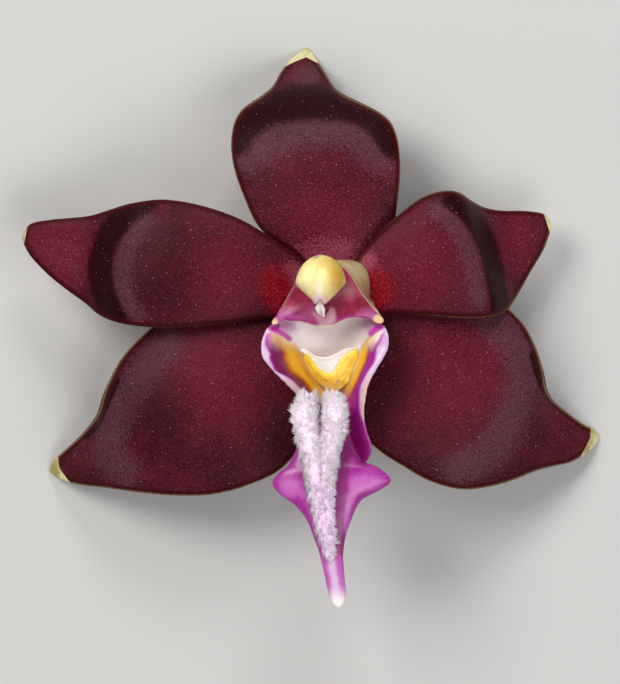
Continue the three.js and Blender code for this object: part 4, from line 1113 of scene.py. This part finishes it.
def lipMaterial():
    look = Nodes("lipFlesh")
    cloud, grain = look.noise(1.0, 4), look.noise(0.16, 3)
    fray = look.times(look.math("SUBTRACT", look.noise(0.5, 4), 0.5), 0.55)

    def mask(name, low=0.3, high=0.7, share=1.0):
        value = look.step(look.math("ADD", look.attribute(name), fray), low, high)
        return look.times(value, share)

    def wallSkin(side, high, low):
        # two sets of bands across a wall, one for its upper part and one for its lower part
        place = look.math("ADD", look.attribute(side + "Across"), look.times(fray, 0.22))
        share = look.step(look.math("ADD", look.axis("Y"), look.times(fray, 1.2)), -0.8, -2.3)
        return look.blend(share, look.ramp(place, *high), look.ramp(place, *low))

    leftSkin = wallSkin(
        "left",
        [(0.0, lip["violetLine"]), (0.12, lip["mauve"]), (0.34, lip["peach"]), (0.62, lip["tan"]),
         (0.9, lip["cream"])],
        [(0.0, lip["violetLine"]), (0.09, lip["magenta"]), (0.33, lip["magenta"]), (0.45, lip["brown"]),
         (0.54, lip["orange"]), (0.66, lip["yellow"]), (0.9, lip["yellow"]), (1.0, lip["tan"])])
    rightSkin = wallSkin(
        "right",
        [(0.0, lip["violetLine"]), (0.14, lip["mauve"]), (0.26, lip["cream"]), (0.6, lip["cream"]),
         (0.85, lip["tan"])],
        [(0.0, lip["violetLine"]), (0.12, lip["purple"]), (0.4, lip["purple"]), (0.52, lip["brown"]),
         (0.6, lip["orange"]), (0.74, lip["yellow"]), (0.92, lip["yellow"]), (1.0, lip["tan"])])

    # throat
    skin = look.blend(look.step(cloud, 0.3, 0.7), lip["cavity"], lip["white"])
    # painted shade: greyer towards the right of the cavity
    skin = look.blend(look.times(look.attribute("greyShade"), 0.5), skin, lip["greyShade"])
    skin = look.blend(look.times(mask("mauvePatch", 0.0, 1.1), 0.8), skin, lip["mauve"])
    skin = look.blend(look.times(look.attribute("floorTan"), 0.9), skin, lip["tan"])
    skin = look.blend(look.times(look.attribute("floorGold"), 0.85), skin, lip["ochre"])
    skin = look.blend(look.attribute("leftWall"), skin, leftSkin)
    skin = look.blend(look.attribute("rightWall"), skin, rightSkin)
    skin = look.blend(mask("fan", 0.15, 0.95, 0.9), skin, lip["fan"])
    margin = look.blend(look.times(look.step(cloud, 0.4, 0.7), 0.6), lip["margin"], lip["lilac"])
    margin = look.blend(look.times(look.attribute("tanRim"), 0.85), margin, lip["marginTan"])
    margin = look.blend(look.times(look.attribute("topViolet"), 0.8), margin, lip["mauve"])
    skin = look.blend(look.attribute("leftMargin"), skin, margin)
    skin = look.blend(look.attribute("rightMargin"), skin, margin)
    wall = look.blend(look.step(look.axis("Y"), -9.5, -5.5), lip["wallPurple"], lip["purple"])
    wall = look.blend(look.times(look.attribute("wallEdge"), 0.55), wall, lip["violet"])
    inner = look.times(look.attribute("darkWall"), look.math("SUBTRACT", 1, look.attribute("rightMargin")))
    skin = look.blend(inner, skin, wall)
    skin = look.blend(mask("toothLine", 0.3, 0.8, 0.8), skin, lip["purple"])
    outside = look.blend(look.step(cloud, 0.4, 0.7), lip["outside"], lip["lilac"])
    skin = look.blend(look.attribute("outside"), skin, outside)
    # midlobe
    lobe = look.blend(look.step(cloud, 0.35, 0.65), lip["violet"], lip["purple"])
    lobe = look.blend(look.times(look.step(grain, 0.5, 0.75), 0.4), lobe, lip["pinkLilac"])
    lobe = look.blend(mask("pale", 0.2, 1.0, 0.75), lobe, lip["pinkLilac"])
    # painted shade in the valley beside the brush
    lobe = look.blend(mask("valleyShade", 0.2, 0.9, 0.8), lobe, lip["deepPurple"])
    # painted shade where the midlobe meets the right wall
    lobe = look.blend(mask("junctionShade", 0.2, 1.0, 0.8), lobe, lip["deepPurple"])
    lobe = look.blend(look.times(look.attribute("tipSides"), 0.75), lobe, lip["pinkLilac"])
    # a pale ridge towards the tip, partly its own colour and partly a painted highlight
    lobe = look.blend(mask("ridgeAndHighlight", 0.1, 1.0, 0.8), lobe, lip["margin"])
    lobe = look.blend(look.attribute("whiteTip"), lobe, lip["tipWhite"])
    skin = look.blend(look.attribute("lobe"), skin, lobe)
    relief = look.bump(look.cells(0.11), 0.35, 0.025, look.bump(cloud, 0.3, 0.12))
    look.set(Base_Color=skin, Roughness=look.math("ADD", look.times(grain, 0.2), 0.24), Normal=relief,
             Specular_IOR_Level=0.5, Subsurface_Weight=0.22, Subsurface_Scale=0.0009,
             Subsurface_Radius=(1.0, 0.55, 0.75), Coat_Weight=0.1, Coat_Roughness=0.18)
    return look.material


def sheetWall(name, alongCuts, acrossCuts, surface, thickness, share):
    # a sheet with its own thickness all round; share(u, t) thins it towards the rim
    def formula(u, v):
        return surface(u, np.sin((v - 0.5) * math.pi))

    piece = shapedGrid(name, alongCuts, acrossCuts, formula)
    thinTowardsRim(piece, alongCuts, acrossCuts, share)
    faceUp(piece)
    modify(piece, "SOLIDIFY", thickness=thickness * mm, offset=0, vertex_group="thick",
           thickness_vertex_group=0.0, use_even_offset=False)
    return piece


def makeLip():
    rows = np.array(lip["throat"])

    def throat(u, t):
        line = curveAt(rows, u)
        share = (t + 1) / 2
        x = line[:, 1] * (1 - share) + line[:, 2] * share
        z = line[:, 4] + (line[:, 3] - line[:, 4]) * np.abs(t) ** 3 * (1.9 - 0.9 * t**4)
        return np.stack([x, line[:, 0], z], 1)

    def wallShare(u, t):
        return np.maximum(0.62, np.sqrt(np.clip(1 - np.abs(t) ** 6, 0, 1)))

    bowl = sheetWall("bowl", 90, 90, throat, lip["wall"], wallShare)

    def blade(u, t):
        return bladeAt(lip["midlobe"], lip["level"], np.clip(u, 0, 0.998), t)

    def bladeShare(u, t):
        rim = np.sqrt(np.clip(1 - np.abs(t) ** 6, 0.12, 1)) * np.sqrt(np.clip(1 - u**24, 0.3, 1))
        return (lip["flesh"] + 0.5 * u**3) / lip["thickest"] * rim

    lobe = sheetWall("midlobe", 110, 50, blade, lip["thickest"], bladeShare)

    def keelTop(x, y, r):
        furrow = 0.22 * np.exp(-(((x - 0.9) / 0.3) ** 2)) * smoothStep(-y, 6.0, 6.8) * (1 - smoothStep(-y, 11.0, 13.0))
        return 15.4 - 0.12 * (x - 0.95) ** 2 - furrow - 0.25 * r**6

    keel = blockPiece("keel", lip["keel"], keelTop, aroundCuts=90, ringCuts=50, faceShare=0.5)
    piece = join("orchidLip", [bowl, lobe, keel])
    modify(piece, "REMESH", mode="VOXEL", voxel_size=lip["voxel"] * mm)
    modify(piece, "SMOOTH", factor=0.5, iterations=10)
    points = pointsOf(piece)
    for name, values in lipMasks(*points.T).items():
        paint(piece, name, values)
    piece.data.materials.append(lipMaterial())
    finishPiece(piece, "lip", "lip")


makeLip()
print("lip done")

# throat callus
callus = {
    # toothed edge x, y and outer edge x, y, from the left arm's end round the notch to the right arm's end
    "stations": [
        [-0.52, -2.17, -0.63, -2.3], [-0.13, -2.35, -0.59, -2.74], [0.13, -2.78, -0.35, -3.43],
        [0.48, -3.22, 0.0, -4.09], [0.83, -3.54, 0.43, -4.61], [1.22, -3.74, 1.04, -5.17], [1.7, -3.83, 1.74, -5.7],
        [2.0, -3.61, 2.52, -5.43], [2.22, -3.22, 3.22, -4.83], [2.52, -2.74, 3.61, -4.3], [2.96, -2.23, 3.96, -3.61],
        [3.43, -1.97, 4.17, -2.91], [4.0, -1.93, 4.2, -2.2],
    ],
    "fold": [[-0.98, -2.02], [-0.72, -1.82], [-0.09, -2.13], [0.45, -2.45], [1.39, -2.57], [2.26, -2.22],
             [2.96, -1.87], [3.6, -1.76], [4.15, -1.72]],
    "teeth": 25, "toothDepth": 0.1, "crest": 12.9, "slope": 0.2, "bulge": 0.2, "foldLevel": 12.75, "cuts": (220, 60),
    "lumps": [(3.3, -4.75, 0.3), (2.1, -4.85, 0.2), (2.7, -4.6, 0.2), (1.3, -4.5, 0.25)],  # x, y and width
    "yellow": tint("#f9d24c"), "gold": tint("#f2bd2a"), "straw": tint("#d9b878"), "cream": tint("#efe2cc"),
    "spot": tint("#b39a86"), "foldPale": tint("#f2e8e2"),
}


def callusMaterial():
    look = Nodes("callusYellow")
    cloud, grain = look.noise(0.8, 3), look.noise(0.14, 3)
    across = look.attribute("across")
    skin = look.blend(look.step(cloud, 0.35, 0.65), callus["yellow"], callus["gold"])
    lower = look.math("SUBTRACT", 1, look.step(look.math("ADD", look.axis("Y"), look.times(cloud, 0.6)), -5.1, -4.3))
    skin = look.blend(look.times(lower, 0.85), skin, callus["straw"])
    skin = look.blend(look.times(look.spot((2.25, -4.7), (0.22, 0.16), 0.7), 0.6), skin, callus["spot"])
    toothEdge = look.math("SUBTRACT", 1, look.step(look.math("ADD", across, look.times(grain, 0.05)), 0.03, 0.12))
    skin = look.blend(look.times(toothEdge, 0.8), skin, callus["cream"])
    skin = look.blend(look.attribute("pale"), skin, callus["foldPale"])
    relief = look.bump(look.cells(0.12), 0.4, 0.03, look.bump(cloud, 0.5, 0.12))
    look.set(Base_Color=skin, Roughness=0.33, Normal=relief, Specular_IOR_Level=0.5, Subsurface_Weight=0.3,
             Subsurface_Scale=0.0008, Subsurface_Radius=(1.0, 0.7, 0.25))
    return look.material


def makeCallus():
    rows = np.array(callus["stations"])

    def surface(u, v):
        notch, outer = curveAt(rows[:, :2], u), curveAt(rows[:, 2:], u)
        # v runs over the face from the notch to the outer edge, then back underneath
        over = np.clip(v * 2, 0, 1)
        back = np.clip(v * 2 - 1, 0, 1)
        share = np.where(v < 0.5, over, 1 - back)
        toothed = smoothStep(u, 0.05, 0.15) * (1 - smoothStep(u, 0.85, 0.95))
        tooth = callus["toothDepth"] * np.abs(np.sin(u * callus["teeth"] * math.pi)) * toothed
        plan = notch * (1 - share[:, None]) + outer * share[:, None]
        plan[:, 1] -= tooth * (1 - share) ** 6
        face = callus["crest"] - callus["slope"] * np.clip(-1.8 - plan[:, 1], 0, 5)
        face += callus["bulge"] * np.sin(math.pi * np.clip(share * 1.6, 0, 1)) - 0.22 * smoothStep(share, 0.6, 1.0)
        for lumpX, lumpY, width in callus["lumps"]:
            face += 0.12 * np.exp(-((plan[:, 0] - lumpX) ** 2 + (plan[:, 1] - lumpY) ** 2) / width**2)
        bottom = np.minimum(throatAt(plan[:, 0], plan[:, 1])[0] + 0.2, face - 0.3)
        ends = np.sqrt(np.clip(1 - np.abs(2 * u - 1) ** 20, 0, 1))
        z = np.where(v < 0.5, face, bottom)
        # the last row climbs to the first again, which closes the wall under the teeth
        z = np.where((v < 0.5) | (v > 0.999), bottom + (face - bottom) * np.clip(ends, 0.0, 1), z)
        return np.concatenate([plan, z[:, None]], 1)

    def membrane(u, v):
        # a pale fold behind the teeth, from its free upper edge down under the notch
        upper = curveAt(callus["fold"], u)
        lower = curveAt(rows[:, :2], np.clip(0.06 + 0.88 * u, 0, 1)) - (0, 0.25)
        share = (0.5 - 0.5 * np.cos(v * 2 * math.pi))[:, None]
        plan = upper * (1 - share) + lower * share
        side = np.where(v < 0.5, 1, -1) * np.sqrt(np.clip(1 - (2 * share[:, 0] - 1) ** 2, 0, 1))
        ends = np.sqrt(np.clip(1 - np.abs(2 * u - 1) ** 12, 0, 1))
        # its upper edge is a rounded ridge, highest at the left end
        ridge = 0.16 * np.exp(-((share[:, 0] / 0.16) ** 2)) * ((v < 0.5) | (v > 0.999))
        z = callus["foldLevel"] + 0.25 * smoothStep(0.2 - u, 0, 0.2) - 0.46 * share[:, 0] + (0.13 * side + ridge) * ends
        return np.concatenate([plan, z[:, None]], 1)

    alongCuts, acrossCuts = callus["cuts"]
    teeth = shapedGrid("teeth", alongCuts, acrossCuts, surface)
    # 0 along the teeth, 1 at the outer edge, and back to 0 underneath
    row = np.arange(len(teeth.data.vertices)) // (alongCuts + 1) / acrossCuts * 2
    paint(teeth, "across", np.where(row <= 1, row, 2 - row))
    closeUp(teeth, 0.002)
    fold = shapedGrid("fold", 90, 28, membrane)
    closeUp(fold, 0.002)
    paint(fold, "pale", np.ones(len(fold.data.vertices)))
    paint(fold, "across", np.full(len(fold.data.vertices), 0.5))
    piece = join("throatCallus", [teeth, fold])
    modify(piece, "SMOOTH", factor=0.4, iterations=2)
    piece.data.materials.append(callusMaterial())
    finishPiece(piece, "callus", "throat_callus")


makeCallus()

# brush of hairs
brush = {
    # x, y, z along the middle of a pad, then its radius
    "leftPad": [
        [-0.3, -5.95, 15.8, 0.45], [-0.55, -7.3, 16.4, 0.95], [-0.4, -9.0, 16.45, 0.95], [0.1, -10.8, 16.25, 0.98],
        [0.42, -13.0, 15.95, 0.82], [0.75, -15.2, 15.75, 0.7], [1.12, -17.4, 15.65, 0.58], [1.5, -19.3, 15.6, 0.42],
        [1.75, -20.2, 15.55, 0.2],
    ],
    "rightPad": [
        [1.95, -5.95, 15.8, 0.45], [2.1, -7.3, 16.4, 0.9], [1.85, -9.0, 16.45, 0.92], [1.38, -10.8, 16.25, 0.94],
        [1.2, -13.0, 16.0, 0.74], [1.3, -15.6, 15.75, 0.58], [1.6, -18.2, 15.62, 0.42], [1.8, -19.9, 15.55, 0.2],
    ],
    "tufts": 760, "hairs": 6400,  # on each pad; some of the tufts are left out where the pad is thin
    "length": 0.8, "root": 0.045, "gather": 0.4, "lift": 0.24, "sunk": 0.96, "sides": 3, "rings": 2,
    "white": tint("#fdf8fc"), "lilac": tint("#ecc6e8"), "deepLilac": tint("#c274c0"),
}


def brushMaterial():
    look = Nodes("brushHair")
    toTip, hollow = look.attribute("toTip"), look.attribute("hollow")
    skin = look.blend(look.step(toTip, 0.0, 0.8), brush["lilac"], brush["white"])
    # painted shade in the furrow between the pads, and a deeper lilac along the lower ridge
    skin = look.blend(look.times(hollow, 0.75), skin, brush["deepLilac"])
    lower = look.math("SUBTRACT", 1, look.step(look.axis("Y"), -19.5, -11.0))
    skin = look.blend(look.times(lower, 0.45), skin, brush["lilac"])
    skin = look.blend(look.times(look.noise(0.4, 2), 0.25), skin, brush["white"])
    look.set(Base_Color=skin, Roughness=0.5, Normal=look.bump(look.noise(0.1, 2), 0.3, 0.02), Specular_IOR_Level=0.3,
             Sheen_Weight=0.9, Sheen_Roughness=0.6, Sheen_Tint=brush["white"])
    return look.material


def tuftAims(rows, u, angle, lean, comb, stray):
    # root and direction of hairs at these places on a pad
    centre, along = curveAt(rows[:, :3], u), tangentAt(rows[:, :3], u)
    across = np.array([1.0, 0, 0]) - along * along[:, :1]
    across /= np.linalg.norm(across, axis=1, keepdims=True)
    upward = np.cross(along, across)
    outward = across * np.cos(angle)[:, None] + upward * np.sin(angle)[:, None]
    sideways = across * np.sin(angle)[:, None] - upward * np.cos(angle)[:, None]
    radius = curveAt(rows[:, 3:4], u)
    direction = outward * brush["lift"] + sideways * comb[:, None] + along * lean[:, None] + stray
    direction /= np.linalg.norm(direction, axis=1, keepdims=True)
    return centre + outward * radius * brush["sunk"], direction, along


def hairBodies(path, tufts, count):
    # each hair is a thin cone that starts in the pad, bends a little and ends in a point; hairs gather in tufts
    rows = np.array(path)
    tuftU = rng.random(tufts)
    # more tufts where the pad is thick, so the cover is even
    radius = curveAt(rows[:, 3:4], tuftU)[:, 0]
    tuftU = tuftU[rng.random(tufts) < 0.35 + 0.65 * radius / radius.max()]
    tufts = len(tuftU)
    tuftAngle = rng.uniform(-0.2, math.pi + 0.2, tufts)
    # combed off the middle of the pad to both sides; at the top they fan out towards the column
    settle = np.where(np.cos(tuftAngle) < 0, 0.9, 0.2)
    lean = -1.0 + (1.0 + settle) * smoothStep(tuftU, 0.12, 0.34) + rng.normal(0, 0.2, tufts)
    comb = 0.9 * np.tanh(2.5 * np.cos(tuftAngle)) + rng.normal(0, 0.35, tufts)
    stray = rng.normal(0, 0.1, (tufts, 3))
    # long at the two sides, short over the middle
    towardsSide = 0.5 + 0.8 * np.abs(np.cos(tuftAngle))
    tuftLength = brush["length"] * rng.uniform(0.65, 1.2, tufts) * (1 - 0.4 * tuftU) * towardsSide
    tuftRoot, tuftDirection, _ = tuftAims(rows, tuftU, tuftAngle, lean, comb, stray)
    tuftTip = tuftRoot + tuftDirection * tuftLength[:, None]
    own = rng.integers(0, tufts, count)
    u = np.clip(tuftU[own] + rng.normal(0, 0.009, count), 0, 1)
    angle = tuftAngle[own] + rng.normal(0, 0.13, count)
    root, direction, along = tuftAims(rows, u, angle, lean[own], comb[own], stray[own])
    length = tuftLength[own] * rng.uniform(0.75, 1.1, count)
    aim = (root + direction * length[:, None]) * (1 - brush["gather"]) + tuftTip[own] * brush["gather"]
    direction = aim - root
    length = np.linalg.norm(direction, axis=1)
    direction /= length[:, None]
    side = np.cross(direction, rng.normal(0, 1, (count, 3)))
    side /= np.linalg.norm(side, axis=1, keepdims=True)
    other = np.cross(direction, side)
    bend = side * rng.normal(0, 0.16, count)[:, None] + along * (0.14 * np.clip(u * 3 - 0.6, -1, 1))[:, None]
    rings = []
    for k in range(brush["rings"]):
        f = k / brush["rings"]
        middle = root + (direction * f + bend * f * f) * length[:, None]
        width = brush["root"] * (1 - 0.75 * f)
        for j in range(brush["sides"]):
            a = 2 * math.pi * j / brush["sides"]
            rings.append(middle + (side * math.cos(a) + other * math.sin(a)) * width)
    tip = root + (direction + bend) * length[:, None]
    points = np.stack([*rings, tip], 1)  # hair, point, xyz
    s, r = brush["sides"], brush["rings"]
    faces = [tuple(reversed(range(s)))]
    for k in range(r - 1):
        faces += [(k * s + j, k * s + (j + 1) % s, (k + 1) * s + (j + 1) % s, (k + 1) * s + j) for j in range(s)]
    faces += [((r - 1) * s + j, (r - 1) * s + (j + 1) % s, r * s) for j in range(s)]
    each = r * s + 1
    toTip = np.tile([k / r for k in range(r) for j in range(s)] + [1.0], count)
    allFaces = [tuple(i + h * each for i in face) for h in range(count) for face in faces]
    return points.reshape(-1, 3), allFaces, toTip


def makeBrush():
    bodies = []
    for pad in ("leftPad", "rightPad"):
        rows = np.array(brush[pad])

        def surface(u, v):
            q = np.clip((u - 0.04) / 0.92, 0, 1)
            ends = np.sqrt(np.clip(1 - np.abs(2 * u - 1) ** 16, 0, 1))
            reach = curveAt(rows[:, 3:4], q)[:, 0] * ends
            return tubeAt(rows[:, :3], q, v * 2 * math.pi, reach)

        body = shapedGrid(pad, 90, 36, surface)
        closeUp(body)
        paint(body, "toTip", np.full(len(body.data.vertices), 0.3))
        points, faces, toTip = hairBodies(brush[pad], brush["tufts"], brush["hairs"])
        mesh = bpy.data.meshes.new(pad + "Hairs")
        mesh.from_pydata([tuple(p) for p in points * mm], [], faces)
        hairs = bpy.data.objects.new(pad + "Hairs", mesh)
        bpy.context.collection.objects.link(hairs)
        paint(hairs, "toTip", toTip)
        bodies += [body, hairs]
    piece = join("lipBrush", bodies)
    points = pointsOf(piece)
    low, high = (np.array(corner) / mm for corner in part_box("lip_brush"))
    points = np.clip(points, low - [0.3, 0.3, 0.0], high + [0.3, 0.3, 0.0])
    movePoints(piece, points)
    x, y, z = points.T
    # painted shade in the furrow between the pads, and a deeper lilac along the lower ridge
    furrow = stroke(x, y, [[0.8, -6.2], [0.78, -8.0], [0.75, -9.6], [0.7, -10.8]], 0.22, 0.8)
    lowRidge = stroke(x, y, [[0.72, -10.8], [0.8, -13.0], [1.05, -15.4], [1.4, -18.0]], 0.5, 0.9) * 0.45
    paint(piece, "hollow", np.maximum(furrow, lowRidge) * (1 - smoothStep(z, 16.7, 17.2)))
    piece.data.materials.append(brushMaterial())
    finishPiece(piece, "hairs", "lip_brush")


makeBrush()
print("callus and brush done")

# stage, light and camera
stage = {
    "floorColour": (0.5, 0.495, 0.485), "floorShade": (0.58, 0.57, 0.56), "floorSize": 1.6,
    "cameraHeight": 1.5, "lookAt": (-0.09, -1.26), "frameHeight": 59.5,
    "worldColour": (0.75, 0.78, 0.82), "worldStrength": 0.28,
    "sensor": 36, "tepalHeight": 9, "lampAim": (0, 0, 0.008),
    # name: place, size, watts, colour
    "lamps": {
        "keySoftbox": ((-0.26, 0.22, 0.42), 0.28, 2.0, (1.0, 0.97, 0.93)),
        "fillSoftbox": ((0.34, -0.1, 0.36), 0.3, 0.7, (0.95, 0.97, 1.0)),
        "topStrip": ((0.05, 0.42, 0.3), 0.16, 0.9, (1.0, 1.0, 1.0)),
        "lowFill": ((0.14, -0.3, 0.46), 0.34, 1.0, (1.0, 0.98, 0.97)),
    },
}


def floorMaterial():
    look = Nodes("paleFloor")
    cloud = look.noise(18, 3)
    colour = look.blend(look.math("MULTIPLY", cloud, 0.08), stage["floorColour"], stage["floorShade"])
    look.set(Base_Color=colour, Roughness=0.7, Normal=look.bump(look.noise(0.8, 2), 0.1, 0.05))
    return look.material


bpy.ops.object.select_all(action="DESELECT")
bpy.ops.mesh.primitive_plane_add(size=stage["floorSize"])
floor = bpy.context.object
floor.name = "floor"
floor.data.materials.append(floorMaterial())

for name, (place, size, watts, colour) in stage["lamps"].items():
    bpy.ops.object.light_add(type="AREA", location=place)
    lamp = bpy.context.object
    lamp.name = name
    lamp.data.shape = "DISK"
    lamp.data.size = size
    lamp.data.energy = watts
    lamp.data.color = colour
    lamp.rotation_euler = (Vector(stage["lampAim"]) - Vector(place)).to_track_quat("-Z", "Y").to_euler()

world = bpy.data.worlds.new("softRoom")
bpy.context.scene.world = world
world.use_nodes = True
sky = world.node_tree.nodes["Background"]
sky.inputs["Color"].default_value = (*stage["worldColour"], 1)
sky.inputs["Strength"].default_value = stage["worldStrength"]

cameraX, cameraY = stage["lookAt"]
bpy.ops.object.camera_add(location=(cameraX * mm, cameraY * mm, stage["cameraHeight"]))
camera = bpy.context.object
camera.data.sensor_width = stage["sensor"]  # along the frame's long side, which is its height
tepalDistance = stage["cameraHeight"] - stage["tepalHeight"] * mm  # the frame is measured at the tepals
camera.data.lens = stage["sensor"] * tepalDistance / (stage["frameHeight"] * mm)
camera.data.clip_start, camera.data.clip_end = 0.05, 20
bpy.context.scene.camera = camera
bpy.context.scene.view_settings.view_transform = "Standard"  # keeps deep maroon and magenta true
